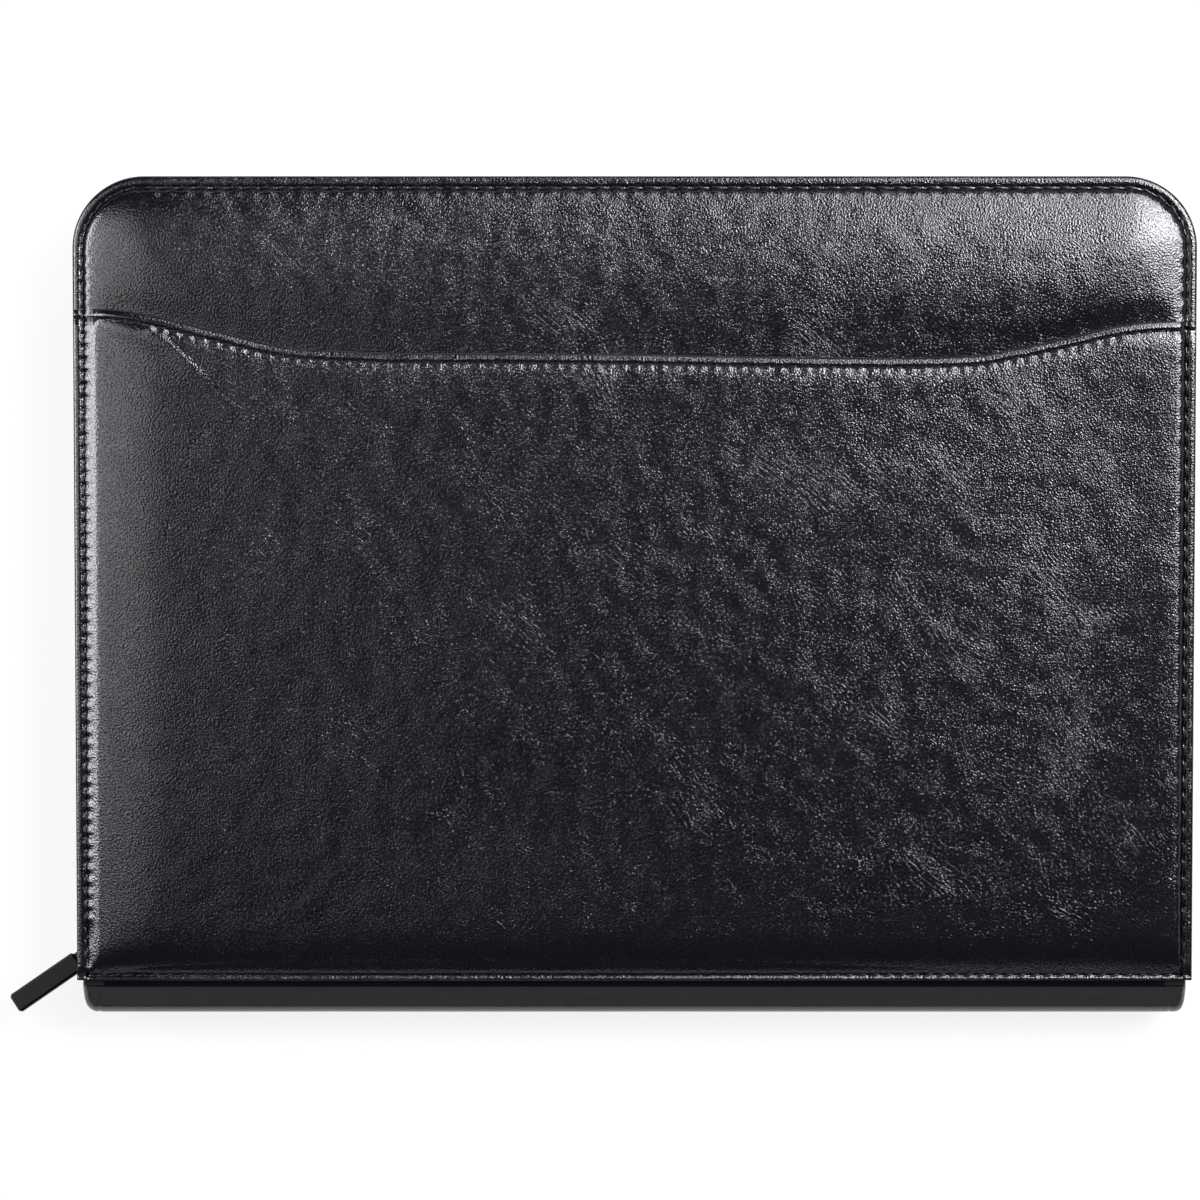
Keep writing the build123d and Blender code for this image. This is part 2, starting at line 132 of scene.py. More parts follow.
class PadfolioSizes(bpy.types.PropertyGroup):
    """Sizes of the sewn work, in millimetres."""

    side_pitch: size("Left stitch length", 3.85, "Stitch length down the left side")
    edge_pitch: size("Edge stitch length", 5.05, "Stitch length along the opening and the right side")
    fold_pitch: size("Fold stitch length", 4.1, "Stitch length along the fold")
    mouth_pitch: size("Mouth stitch length", 4.0, "Stitch length along the pocket's mouth")
    thread_width: size("Thread width", 0.7, "Width of the sewing thread")
    mouth_level: size("Mouth level", MOUTH_MIDDLE, "Height of the mouth's middle from the case's middle")
    tooth_pitch: size("Tooth spacing", 1.6, "Spacing of the zip's teeth")
    rule_spacing: size("Rule spacing", 7.1, "Spacing of the lines on the writing paper")


class PadfolioColours(bpy.types.PropertyGroup):
    """Colours of the case's materials."""

    leather: colour("Leather", "#09090c", "Pigment coat of the leather")
    thread: colour("Thread", "#1b1b1e", "Sewing thread")
    lining: colour("Lining", "#1d1d20", "Lining cloth")
    tape: colour("Tape", "#121214", "Zip tape and coil")
    metal: colour("Metal", "#0f0f11", "Coating of the zip's metal")
    paper: colour("Paper", "#f2efdc", "Writing paper")


class PadfolioStage(bpy.types.PropertyGroup):
    """Camera and lamps."""

    camera_distance: FloatProperty(
        name="Camera distance", description="From the camera to the cover", default=1.6, unit="LENGTH")
    camera_tilt: FloatProperty(
        name="Camera tilt", description="Lean of the view towards the opening edge",
        default=math.radians(3.7), subtype="ANGLE")
    key_power: FloatProperty(
        name="Key lamp", description="Power of the lamp at the far right", default=6.2, unit="POWER")
    left_power: FloatProperty(
        name="Left lamp", description="Power of the lamp at the left", default=1.7, unit="POWER")


# Materials.

def add_node(tree, kind, inputs=None, **settings):
    """Add a shader node, set its settings, and link or set its inputs. A node stands for its first output."""
    node = tree.nodes.new(f"ShaderNode{kind}")
    for name, value in settings.items():
        setattr(node, name, value)
    for socket, value in (inputs or {}).items():
        if isinstance(value, bpy.types.Node):
            value = value.outputs[0]
        if isinstance(value, bpy.types.NodeSocket):
            tree.links.new(value, node.inputs[socket])
        else:
            node.inputs[socket].default_value = value
    return node


def start_material(name):
    """A new material's tree, its shader and its object coordinates."""
    material = bpy.data.materials.new(name)
    material.use_nodes = True
    tree = material.node_tree
    return tree, tree.nodes["Principled BSDF"], add_node(tree, "TexCoord").outputs["Object"]


def per_mm(spacing):
    """Texture scale, in repeats per metre, for a spacing in millimetres."""
    return 1 / (spacing * MM)


def wave_scale(spacing):
    """Scale of a wave texture, which turns 20 radians per unit, for lines that many millimetres apart."""
    return 2 * math.pi / 20 * per_mm(spacing)


def rgba(values, factor=1.0):
    """A colour made lighter or darker by factor, with an alpha of 1."""
    return tuple(v * factor for v in values[:3]) + (1.0,)


def finish_shader(tree, shader, colours, factor, height, relief, roughness):
    """Set a shader from two colours mixed by factor, and a height in parts of relief millimetres."""
    mixed = add_node(tree, "Mix", {0: factor, 6: colours[0], 7: colours[1]}, data_type="RGBA")
    tree.links.new(mixed.outputs[2], shader.inputs["Base Color"])
    bump = add_node(tree, "Bump", {"Height": height, "Distance": relief * MM, "Strength": 1.0})
    tree.links.new(bump.outputs["Normal"], shader.inputs["Normal"])
    tree.links.new(bump.outputs["Normal"], shader.inputs["Coat Normal"])
    rough = add_node(tree, "MapRange", {"Value": factor, "To Min": roughness[0], "To Max": roughness[1]})
    tree.links.new(rough.outputs["Result"], shader.inputs["Roughness"])


def bonded_leather(name, colours, relief, veined, coat):
    """Bonded leather, embossed and pigment coated: fine grain and bundles of veins glint on cool black."""
    tree, shader, place = start_material(name)

    def bend(spacing, reach):
        """The object's place, shifted by a soft noise of that spacing."""
        drift = add_node(tree, "TexNoise", {"Vector": place, "Scale": per_mm(spacing), "Detail": 0.0},
                         noise_dimensions="2D")
        centred = add_node(tree, "VectorMath", {0: drift.outputs["Color"], 1: (0.5, 0.5, 0.5)},
                           operation="SUBTRACT")
        return add_node(tree, "VectorMath", {0: centred, 1: (reach * MM, reach * MM, 0.0), 2: place},
                        operation="MULTIPLY_ADD")

    # The pebbles are about 0.4 mm across and drawn at 0.6 mm so that they show.
    pressed = bend(7.0, 1.6)
    grain = add_node(tree, "TexNoise", {"Vector": pressed, "Scale": per_mm(0.6), "Detail": 1.0},
                     noise_dimensions="2D")
    pebbles = add_node(tree, "TexVoronoi", {"Vector": pressed, "Scale": per_mm(0.65)},
                       voronoi_dimensions="2D")
    mixed = add_node(tree, "Math", {0: pebbles, 1: -0.5, 2: grain}, operation="MULTIPLY_ADD")
    # The veins lie about 1.3 mm apart in bundles that wander down to the right.
    drawn_out = add_node(tree, "Mapping",
                         {"Vector": bend(26.0, 14.0), "Rotation": (0, 0, -0.8), "Scale": (5.5, 1.0, 1.0)},
                         vector_type="TEXTURE")
    flow = add_node(tree, "TexNoise", {"Vector": drawn_out, "Scale": per_mm(1.9), "Detail": 2.0},
                    noise_dimensions="2D")
    level = add_node(tree, "Math", {0: flow, 1: 0.5}, operation="SUBTRACT")
    off_line = add_node(tree, "Math", {0: level}, operation="ABSOLUTE")
    patches = add_node(tree, "TexNoise", {"Vector": place, "Scale": per_mm(24.0), "Detail": 3.0},
                       noise_dimensions="2D")
    vein_height = add_node(tree, "MapRange",
                           {"Value": patches, "From Min": 0.44, "From Max": 0.72, "To Max": veined})
    vein_line = add_node(tree, "MapRange",
                         {"Value": off_line, "From Max": 0.06, "To Min": vein_height, "To Max": 0.0},
                         interpolation_type="SMOOTHSTEP")
    height = add_node(tree, "Math", {0: mixed, 1: vein_line}, operation="ADD")
    # The leather is stretched over the padding towards its two ends, where the grain is flatter.
    parts = add_node(tree, "SeparateXYZ", {0: place})
    for start, end, least in ((-125, -160, 0.5), (125, 162, 0.75)):
        slack = add_node(tree, "MapRange",
                         {"Value": parts.outputs["X"], "From Min": start * MM, "From Max": end * MM,
                          "To Min": 1.0, "To Max": least}, interpolation_type="SMOOTHSTEP")
        height = add_node(tree, "Math", {0: height, 1: slack}, operation="MULTIPLY")
    # The base colour is darker in the grain's pits and lighter on its tops: painted shade in the pits.
    finish_shader(tree, shader, (rgba(colours.leather, 0.6), rgba(colours.leather, 1.4)), grain, height,
                  relief, (0.2, 0.17))
    # The pits between the pebbles hold a duller coat, and at a slant the pebbles hide each other's tops.
    slant = add_node(tree, "LayerWeight")
    bared = add_node(tree, "MapRange",
                     {"Value": slant.outputs["Facing"], "From Min": 0.15, "From Max": 0.4, "To Min": 1.0,
                      "To Max": 1 - 0.88 * coat}, interpolation_type="SMOOTHSTEP")
    for socket, lowest, highest in (("Specular IOR Level", 0.5 - 0.15 * coat, 0.5 + 0.4 * coat),
                                    ("Coat Weight", 0.5 * coat, coat)):
        shine = add_node(tree, "MapRange", {"Value": grain, "From Min": 0.3, "From Max": 0.66,
                                            "To Min": lowest, "To Max": highest})
        shown = add_node(tree, "Math", {0: shine, 1: bared}, operation="MULTIPLY")
        tree.links.new(shown.outputs[0], shader.inputs[socket])
    shader.inputs["IOR"].default_value = 1.74
    shader.inputs["Specular Tint"].default_value = (0.92, 0.94, 1.0, 1.0)
    shader.inputs["Coat IOR"].default_value = 1.74
    shader.inputs["Coat Roughness"].default_value = 0.17


def polyester_thread(colours):
    """Twisted polyester thread: a dull sheen that changes a little along the seam."""
    tree, shader, place = start_material("polyester_thread")
    # The twist is 0.35 mm and too fine to show, so its lines lie about 6 mm apart and shade whole stitches.
    twist = add_node(tree, "TexWave", {"Vector": place, "Scale": wave_scale(5.027), "Distortion": 2.0},
                     bands_direction="DIAGONAL").outputs["Fac"]
    finish_shader(tree, shader, (rgba(colours.thread), rgba(colours.thread, 2.2)), twist, twist, 0.08,
                  (0.3, 0.24))
    shader.inputs["Specular IOR Level"].default_value = 0.9


def woven(name, base, spacing, relief, roughness):
    """Plain-woven cloth: crossing threads drawn coarser than real so that they show."""
    tree, shader, place = start_material(name)
    warp, weft = (
        add_node(tree, "TexWave", {"Vector": place, "Scale": wave_scale(spacing), "Distortion": 0.6},
                 bands_direction=way).outputs["Fac"] for way in ("X", "Y"))
    over = add_node(tree, "Math", {0: warp, 1: weft}, operation="MULTIPLY")
    slubs = add_node(tree, "TexNoise", {"Vector": place, "Scale": per_mm(3.0), "Detail": 3.0})
    height = add_node(tree, "Math", {0: slubs, 1: 0.5, 2: over}, operation="MULTIPLY_ADD")
    finish_shader(tree, shader, (rgba(base), rgba(base, 1.8)), over, height, relief, roughness)
    shader.inputs["Sheen Weight"].default_value = 0.15


def speckled(name, base, lighten, spacing, relief, roughness):
    """A plain finish with a fine even mottle: coating, board, foam, card or paper tape."""
    tree, shader, place = start_material(name)
    specks = add_node(tree, "TexNoise", {"Vector": place, "Scale": per_mm(spacing), "Detail": 4.0})
    finish_shader(tree, shader, (rgba(base), rgba(base, lighten)), specks, specks, relief, roughness)
    return shader


def ruled_paper(colours, spacing):
    """Ruled writing paper: soft fibre mottle with pale blue rules across and a red margin."""
    tree, shader, place = start_material("ruled_paper")
    fibres = add_node(tree, "TexNoise", {"Vector": place, "Scale": per_mm(1.2), "Detail": 5.0})
    parts = add_node(tree, "SeparateXYZ", {0: place})
    step = add_node(tree, "Math", {0: parts.outputs["X"], 1: per_mm(spacing)}, operation="MULTIPLY")
    part = add_node(tree, "Math", {0: step}, operation="FRACT")
    rule = add_node(tree, "Math", {0: part, 1: 0.5, 2: 0.045}, operation="COMPARE")
    # The rules stop short of the pad's head, and the margin is 0.6 mm wide.
    head = add_node(tree, "Math", {0: parts.outputs["X"], 1: -0.105}, operation="GREATER_THAN")
    line = add_node(tree, "Math", {0: rule, 1: head}, operation="MULTIPLY")
    margin = add_node(tree, "Math", {0: parts.outputs["Y"], 1: 0.079, 2: 0.0003}, operation="COMPARE")
    sheet = add_node(tree, "Mix", {0: line, 6: rgba(colours.paper), 7: rgba(linear("#9fb6d4"))},
                     data_type="RGBA")
    marked = add_node(tree, "Mix", {0: margin, 6: sheet.outputs[2], 7: rgba(linear("#d79a9a"))},
                      data_type="RGBA")
    finish_shader(tree, shader, (rgba(colours.paper), rgba(colours.paper, 0.94)), fibres, fibres, 0.03,
                  (0.75, 0.85))
    tree.links.new(marked.outputs[2], shader.inputs["Base Color"])


def clear_vinyl():
    """Clear soft PVC sheet: glossy, see-through and faintly rippled."""
    tree, shader, place = start_material("clear_pvc")
    waves = add_node(tree, "TexNoise", {"Vector": place, "Scale": per_mm(18.0), "Detail": 1.0})
    finish_shader(tree, shader, (rgba(linear("#e9edf0")), rgba(linear("#f7f9fa"))), waves, waves, 0.3,
                  (0.08, 0.14))
    shader.inputs["Transmission Weight"].default_value = 0.92
    shader.inputs["IOR"].default_value = 1.53


def make_finishes(colours, sizes):
    """Make every material once."""
    bonded_leather("bonded_leather", colours, 0.12, 0.24, 1.0)
    bonded_leather("bonded_leather_skived", colours, 0.045, 0.3, 0.2)
    polyester_thread(colours)
    # Threads of 0.25 to 0.5 mm are drawn about 6 mm apart, as a soft broad weave.
    woven("lining_cloth", colours.lining, 6.283, 0.08, (0.75, 0.6))
    woven("zip_tape_twill", colours.tape, 5.655, 0.1, (0.8, 0.65))
    woven("elastic_webbing", colours.tape, 7.54, 0.15, (0.8, 0.6))
    speckled("polyester_coil", colours.tape, 1.6, 0.8, 0.02, (0.3, 0.4))
    zinc = speckled("coated_zinc", colours.metal, 1.5, 0.7, 0.012, (0.2, 0.26))
    zinc.inputs["Specular IOR Level"].default_value = 0.25
    speckled("grey_board", linear("#8d877c"), 1.2, 1.5, 0.05, (0.85, 0.95))
    speckled("open_foam", linear("#6d6d6d"), 1.3, 1.0, 0.2, (0.9, 1.0))
    speckled("raw_card", linear("#a89a80"), 1.15, 1.2, 0.04, (0.85, 0.95))
    speckled("binding_paper", linear("#2b303c"), 1.25, 0.9, 0.04, (0.5, 0.62))
    ruled_paper(colours, sizes.rule_spacing)
    clear_vinyl()


def dress(material, *nodes):
    """Give carried-over CAD nodes a material."""
    for name in nodes:
        node = frame["nodes"][name]
        if not node.data.materials:
            node.data.materials.append(None)
        for holder in node.material_slots:
            holder.material = bpy.data.materials[material]


# Shape helpers.

def profile(points):
    """A smooth height curve through points that never overshoots them."""
    places, heights = zip(*points)
    rises = [(heights[i + 1] - heights[i]) / (places[i + 1] - places[i]) for i in range(len(places) - 1)]
    inner = [0 if a * b <= 0 else 2 * a * b / (a + b) for a, b in zip(rises, rises[1:])]
    slopes = [rises[0]] + inner + [rises[-1]]

    def height(x):
        if x <= places[0]:
            return heights[0]
        if x >= places[-1]:
            return heights[-1]
        i = bisect.bisect_right(places, x) - 1
        span = places[i + 1] - places[i]
        t = (x - places[i]) / span
        return ((1 + 2 * t) * (1 - t) ** 2 * heights[i] + t * (1 - t) ** 2 * span * slopes[i]
                + t * t * (3 - 2 * t) * heights[i + 1] + t * t * (t - 1) * span * slopes[i + 1])

    return height


def ease(value, start=0.0, end=1.0):
    """Go smoothly from 0 at start to 1 at end."""
    t = min(1.0, max(0.0, (value - start) / (end - start)))
    return t * t * (3 - 2 * t)


def bell(value, centre, width):
    """A smooth bump of height 1 at centre."""
    return math.exp(-((value - centre) / width) ** 2)


def soft_min(a, b, reach):
    """The lower of two heights, rounded where they meet."""
    return min(a, b) - max(0.0, reach - abs(a - b)) ** 2 / (4 * reach)


def spread(first, last, step):
    """Even places from first to last, about step apart."""
    count = max(1, round(abs(last - first) / step))
    return [first + (last - first) * i / count for i in range(count + 1)]


def ripple(x, y, spacing, seed):
    """Soft unevenness, from -1 to 1, with hollows about spacing apart."""
    return noise.noise(Vector((x / spacing, y / spacing, seed)))


def grid_sheet(bm, columns, rows, place):
    """Make a grid and put the vertex of each column and row at place(column, row)."""
    across, up = len(columns) - 1, len(rows) - 1
    for vert in bmesh.ops.create_grid(bm, x_segments=across, y_segments=up, size=1)["verts"]:
        column = columns[round((vert.co.x + 1) / 2 * across)]
        vert.co = place(column, rows[round((vert.co.y + 1) / 2 * up)])


def open_edges(bm):
    """The edges round a sheet's rim."""
    return [edge for edge in bm.edges if edge.is_boundary]


def grow_rim(bm, edges):
    """Extrude a rim of edges once, and give its new vertices and its new open edges."""
    grown = bmesh.ops.extrude_edge_only(bm, edges=edges)["geom"]
    verts = [item for item in grown if isinstance(item, bmesh.types.BMVert)]
    return verts, [item for item in grown if isinstance(item, bmesh.types.BMEdge) and item.is_boundary]


def turn_over(bm, level):
    """Mirror a shape upside down, so that what was at height 0 comes to level."""
    bmesh.ops.scale(bm, vec=(1, 1, -1), verts=bm.verts)
    bmesh.ops.translate(bm, vec=(0, 0, level), verts=bm.verts)
    bmesh.ops.reverse_faces(bm, faces=bm.faces)


def join_in(bm, part):
    """Add another shape to a shape and free it."""
    mesh = bpy.data.meshes.new("part")
    part.to_mesh(mesh)
    part.free()
    bm.from_mesh(mesh)
    bpy.data.meshes.remove(mesh)


def add_stitch(thread, point, along, up, length, width, height):
    """Note where one stitch of thread lies in its seam."""
    along, up = Vector(along).normalized(), Vector(up)
    axes = Matrix((along * length / 2, up.cross(along) * width / 2, up * height / 2))
    thread.append(Matrix.Translation(point) @ axes.transposed().to_4x4())


def sew(thread):
    """Make the noted stitches, in batches because an operator's time grows with the mesh that it works in."""
    bm = bmesh.new()
    batch_size = 32
    for start in range(0, len(thread), batch_size):
        batch = bmesh.new()
        for matrix in thread[start:start + batch_size]:
            bmesh.ops.create_uvsphere(batch, u_segments=8, v_segments=5, radius=1, matrix=matrix)
        join_in(bm, batch)
    return bm


def finish_piece(bm, name, material, body, replaces=(), thickness=0.0, blend=None):
    """Turn a bmesh in millimetres into a piece that rides on its body."""
    bmesh.ops.scale(bm, vec=(MM, MM, MM), verts=bm.verts)
    mesh = bpy.data.meshes.new(name)
    bm.to_mesh(mesh)
    bm.free()
    mesh.shade_smooth()
    mesh.materials.append(bpy.data.materials[material])
    piece = bpy.data.objects.new(name, mesh)
    bpy.context.collection.objects.link(piece)
    if thickness:
        wall = piece.modifiers.new("Thickness", "SOLIDIFY")
        wall.thickness = thickness * MM
        wall.offset = -1
    if blend:
        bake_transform(piece)
    else:
        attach(piece, body)
    if replaces:
        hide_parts(*replaces)
    return piece


def settings():
    """The sizes that a user can change."""
    return bpy.context.scene.padfolio_sizes


# The covers' outline: two straight sides, two rounded corners and the opening side.

def rim(x, y):
    """For a point of a cover: distance in from the sewn edge, run along it, and turn round the corner."""
    radius = CORNER_RADIUS
    side, opening = HALF - abs(x), OPENING_Y - y
    straight = OPENING_Y - radius - FOLD_Y
    seam_radius = radius - SEAM_INSET
    if side < radius and opening < radius:
        turn = math.atan2(radius - opening, radius - side)
        return radius - math.hypot(radius - side, radius - opening), straight + turn * seam_radius, turn
    if side < opening:
        return side, y - FOLD_Y, 0.0
    run = straight + seam_radius * math.pi / 2 + HALF - radius - (x if x > -(HALF - radius) else -x)
    return opening, run, math.pi / 2


def rim_point(left, run, inset):
    """The point at that run along the left or right edge, and the direction along it."""
    radius = CORNER_RADIUS
    straight = OPENING_Y - radius - FOLD_Y
    bend = (radius - SEAM_INSET) * math.pi / 2
    if run < straight:
        x, y, along = HALF - inset, FOLD_Y + run, (0.0, 1.0)
    elif run < straight + bend:
        turn = (run - straight) / (radius - SEAM_INSET)
        x = HALF - radius + (radius - inset) * math.cos(turn)
        y = OPENING_Y - radius + (radius - inset) * math.sin(turn)
        along = (-math.sin(turn), math.cos(turn))
    else:
        x, y, along = HALF - radius - (run - straight - bend), OPENING_Y - inset, (-1.0, 0.0)
    return (-x, y, (-along[0], along[1])) if left else (x, y, along)


def rim_lengths():
    """Run of one straight side with its corner, and of the opening's straight."""
    return (OPENING_Y - CORNER_RADIUS - FOLD_Y + (CORNER_RADIUS - SEAM_INSET) * math.pi / 2,
            2 * (HALF - CORNER_RADIUS))


# Heights of the outer leather over its cover's inner face, by distance in from an edge.
COVER_SEAM = [
    (0, 1.0), (0.12, 1.5), (0.4, 1.95), (0.9, 2.16), (1.5, 2.24), (2.0, 2.2), (2.5, 2.06), (2.9, 1.92)]
COVER_EDGE = profile(COVER_SEAM + [
    (3.25, 2.35), (3.7, 3.1), (4.3, 3.62), (5.0, 3.9), (5.8, 4.08), (6.4, 4.19), (7.2, 4.31), (8.4, 4.46),
    (10.5, 4.66), (14, 4.84), (20, 4.95)])
# The same edge where the pocket lies over it.
COVER_UNDER = profile(COVER_SEAM + [
    (3.25, 2.05), (3.7, 2.5), (4.3, 2.95), (5.0, 3.4), (5.8, 3.75), (6.4, 3.9), (7.2, 4.05), (8.4, 4.2),
    (10.5, 4.4), (14, 4.6), (20, 4.7)])
COVER_FOLD = profile([
    (0, 1.9), (0.12, 2.1), (0.35, 2.28), (0.7, 2.32), (1.0, 2.2), (1.3, 1.95), (1.6, 1.85), (1.9, 2.0),
    (2.3, 2.4), (2.8, 2.85), (3.5, 3.25), (4.3, 3.55), (5.5, 3.85), (7.5, 4.15), (10.5, 4.4), (14, 4.5),
    (20, 4.56)])
# How much more the padding rises above the pocket's mouth, by distance from the edge.
COVER_CROWN = profile([
    (3, 0), (6, 0.25), (9, 0.62), (13, 1.12), (18, 1.65), (24, 2.05), (32, 2.28), (42, 2.35)])
POCKET_SEAM = [
    (0, 2.4), (0.12, 2.75), (0.4, 3.02), (0.9, 3.16), (1.5, 3.22), (2.0, 3.18), (2.5, 2.97), (2.9, 2.75),
    (3.25, 2.98)]
POCKET_LEFT = profile(POCKET_SEAM + [
    (3.7, 3.24), (4.3, 3.55), (5.0, 3.92), (5.8, 4.34), (6.4, 4.64), (7.2, 4.97), (8.4, 5.24), (10.5, 5.49),
    (14, 5.88), (20, 6.48), (27, 7.0), (36, 7.22), (46, 7.25)])
POCKET_RIGHT = profile(POCKET_SEAM + [
    (3.7, 4.5), (4.3, 5.75), (5.0, 6.45), (5.8, 6.72), (6.4, 6.81), (7.2, 6.88), (8.4, 6.95), (10.5, 7.02),
    (14, 7.08), (20, 7.14), (27, 7.2), (36, 7.25)])
POCKET_FOLD = profile([
    (0, 2.4), (0.12, 2.72), (0.35, 2.9), (0.7, 2.96), (1.0, 2.88), (1.3, 2.7), (1.6, 2.6), (1.9, 2.74),
    (2.3, 2.97), (2.8, 3.27), (3.5, 3.68), (4.3, 4.14), (5.5, 4.78), (7.5, 5.5), (10.5, 6.18), (15, 6.7),
    (20, 6.95), (27, 7.15), (36, 7.25)])
# What the rolled mouth adds to the pocket's height, by distance down from the mouth.
MOUTH_ROLL = profile([
    (0, -0.75), (0.1, -0.5), (0.3, -0.38), (0.7, -0.2), (1.1, -0.03), (1.5, 0.08), (1.9, 0.06), (2.3, -0.15),
    (2.8, -0.42), (3.3, -0.32), (3.9, -0.2), (4.8, -0.06), (6.2, 0.08), (8.5, 0.14), (14, 0.1), (25, 0)])
# The mouth's line across the cover.
MOUTH_LINE = profile([
    (-171.5, 86.4), (-162, 86.3), (-155, 85.7), (-147.3, 84.4), (-139.4, 82.6), (-131.7, 80.6),
    (-123.8, 78.7), (-116.1, 76.7), (-108.3, 75.1), (-100.5, 74.2), (-84.9, 73.4), (-72.4, 73.0),
    (-40, 72.85), (-10.6, 72.7), (44, 71.8), (81.7, 71.5), (96, 71.8), (105.1, 72.3), (112.9, 73.7),
    (120.7, 75.2), (128.5, 76.9), (136.3, 78.7), (144.1, 80.6), (151.9, 81.9), (159.7, 82.6), (171.5, 82.9)])
# The crease's line, from the left end of the mouth downwards.
CREASE = [
    (-151.0, 83.4), (-147.3, 80.6), (-141.5, 76.0), (-135.7, 70.4), (-131.5, 66.4), (-127.7, 62.4),
    (-124.0, 57.0)]
# Where vertices lie, by distance in from the sewn edge, from the fold and down from the mouth.
RING = [0, 0.12, 0.4, 0.9, 1.5, 2.0, 2.5, 2.9, 3.25, 3.7, 4.3, 5.0, 5.8, 6.4, 7.2, 8.4, 10.5, 14, 18, 22]
FOLD_RING = [0, 0.12, 0.35, 0.7, 1.0, 1.3, 1.6, 1.9, 2.3, 2.8, 3.5, 4.3, 5.5, 7.5, 10.5, 14, 18]
MOUTH_RING = [0, 0.1, 0.3, 0.7, 1.1, 1.5, 1.9, 2.3, 2.8, 3.3, 3.9, 4.8] + [5.5 + 0.7 * k for k in range(32)]


def mouth(x):
    """Height of the pocket's mouth across the cover."""
    return MOUTH_LINE(x) + settings().mouth_level - MOUTH_MIDDLE


def sewn_relief(depth, run, pitch):
    """Stitch holes in the seam and the scallops that they pull in the padding, at a depth from the edge."""
    wave = math.cos(2 * math.pi * run / pitch)
    scallop = 0.24 * wave * bell(depth, SEAM_INSET + 1.1, 0.9)
    return scallop - 0.24 * (1 - wave) * bell(depth, SEAM_INSET + 0.1, 0.5)


def corner_growth(turn):
    """How much further in the seam runs on its way round a corner."""
    return 1 + 0.2 * turn / (math.pi / 2)


def edge_pitch(x):
    """Stitch length of a cover's sewn edge."""
    sizes = settings()
    return sizes.side_pitch if x < -(HALF - CORNER_RADIUS) else sizes.edge_pitch


def cover_height(x, y, crown=0.0):
    """Height of a cover's outer leather over its inner face."""
    inset, run, turn = rim(x, y)
    depth = inset / corner_growth(turn)
    fold = y - FOLD_Y
    edge = COVER_EDGE(depth)
    if crown:
        edge += (COVER_UNDER(depth) - edge) * (1 - ease(y - mouth(x), -6, -0.5))
    height = min(edge, COVER_FOLD(fold)) + sewn_relief(depth, run, edge_pitch(x))
    soft = ease(min(inset, fold), 4, 16)
    height += soft * (0.16 * ripple(x, y, 34, 1.7) + 0.02 * ripple(x, y, 11, 4.2))
    if crown:
        right = ease(x, 0, 120)
        above = y - mouth(x)
        fall = (0.5 + 0.4 * right) * (1 - ease(above, -14, 24))
        height += crown * (1 + 0.35 * right) * COVER_CROWN(inset) * (1 - fall)
        # The ends of the mouth's hem press into the padding.
        press = (0.85 if x > 0 else 0.4) * ease(abs(x), 85, 150)
        height -= press * ease(inset, 4.5, 13) * (1 - ease(above, -1, 9))
    return height


def crease_relief(x, y):
    """The soft crease that runs down from the left end of the pocket's mouth."""
    if not (-172 < x < -100 and 30 < y < 90):
        return 0.0
    best, share, across = math.inf, 0.0, 0.0
    for i in range(len(CREASE) - 1):
        (ax, ay), (bx, by) = CREASE[i], CREASE[i + 1]
        dx, dy = bx - ax, by - ay
        t = min(1.0, max(0.0, ((x - ax) * dx + (y - ay) * dy) / (dx * dx + dy * dy)))
        gap = math.hypot(x - ax - t * dx, y - ay - t * dy)
        if gap < best:
            best, share, across = gap, (i + t) / (len(CREASE) - 1), dx * (y - ay) - dy * (x - ax)
    strength = ease(share, 1.0, 0.5) * ease(share, -0.02, 0.2)
    return 0.42 * strength * bell(best, 0, 3.0 if across < 0 else 0.8)


def shelf_share(x, drop):
    """How far the stiff hem holds the leather level at the left end of the mouth, from 0 to 1."""
    edge = HALF + x
    middle, reach = 2.5 + 0.55 * (edge - 7), 2 + 0.08 * edge
    return ease(edge, 7, 13) * (1 - ease(drop, middle - reach, middle + reach))


def pocket_height(x, y):
    """Height of the pocket's leather over the front cover's inner face."""
    sizes = settings()
    side, fold, drop = HALF - POCKET_INSET - abs(x), y - FOLD_Y, mouth(x) - y
    pitch = sizes.side_pitch if x < 0 else sizes.edge_pitch
    edge = POCKET_LEFT(side) if x < 0 else POCKET_RIGHT(side)
    if x < -100:
        edge += 0.8 * shelf_share(x, drop) * max(0.0, 7.1 - edge)
    height = soft_min(edge, POCKET_FOLD(fold), 1.0) + sewn_relief(side, fold, pitch)
    wave = math.cos(2 * math.pi * (x + HALF) / sizes.fold_pitch)
    height += 0.2 * wave * bell(fold, FOLD_SEAM + 1, 0.7) - 0.2 * (1 - wave) * bell(fold, FOLD_SEAM, 0.4)
    dip = math.cos(2 * math.pi * (x + HALF) / sizes.mouth_pitch)
    holes = 0.16 * (1 - dip) * bell(drop, MOUTH_SEAM, 0.5)
    height += MOUTH_ROLL(drop) + 0.14 * dip * bell(drop, MOUTH_SEAM + 1.1, 0.9) - holes
    soft = ease(min(side, fold), 4, 18) * (0.2 * ripple(x, y, 38, 7.3) + 0.025 * ripple(x, y, 12, 2.9))
    return height + (soft + crease_relief(x, y) * ease(side, 2, 9))


# Columns and rows of a cover are ring numbers near its edges and plain places between them.

def cover_columns(step):
    """Columns of a cover, with the plain ones about step apart."""
    rings = range(len(RING))
    middle = spread(-(HALF - RING[-1]), HALF - RING[-1], step)[1:-1]
    return [("left", k) for k in rings] + [("x", x) for x in middle] + [("right", k) for k in reversed(rings)]


def cover_rows(middle):
    """Rows of a cover, with plain ones at the places of middle."""
    plain = [FOLD_Y + inset for inset in FOLD_RING] + middle
    return [("y", y) for y in plain] + [("opening", k) for k in reversed(range(len(RING)))]


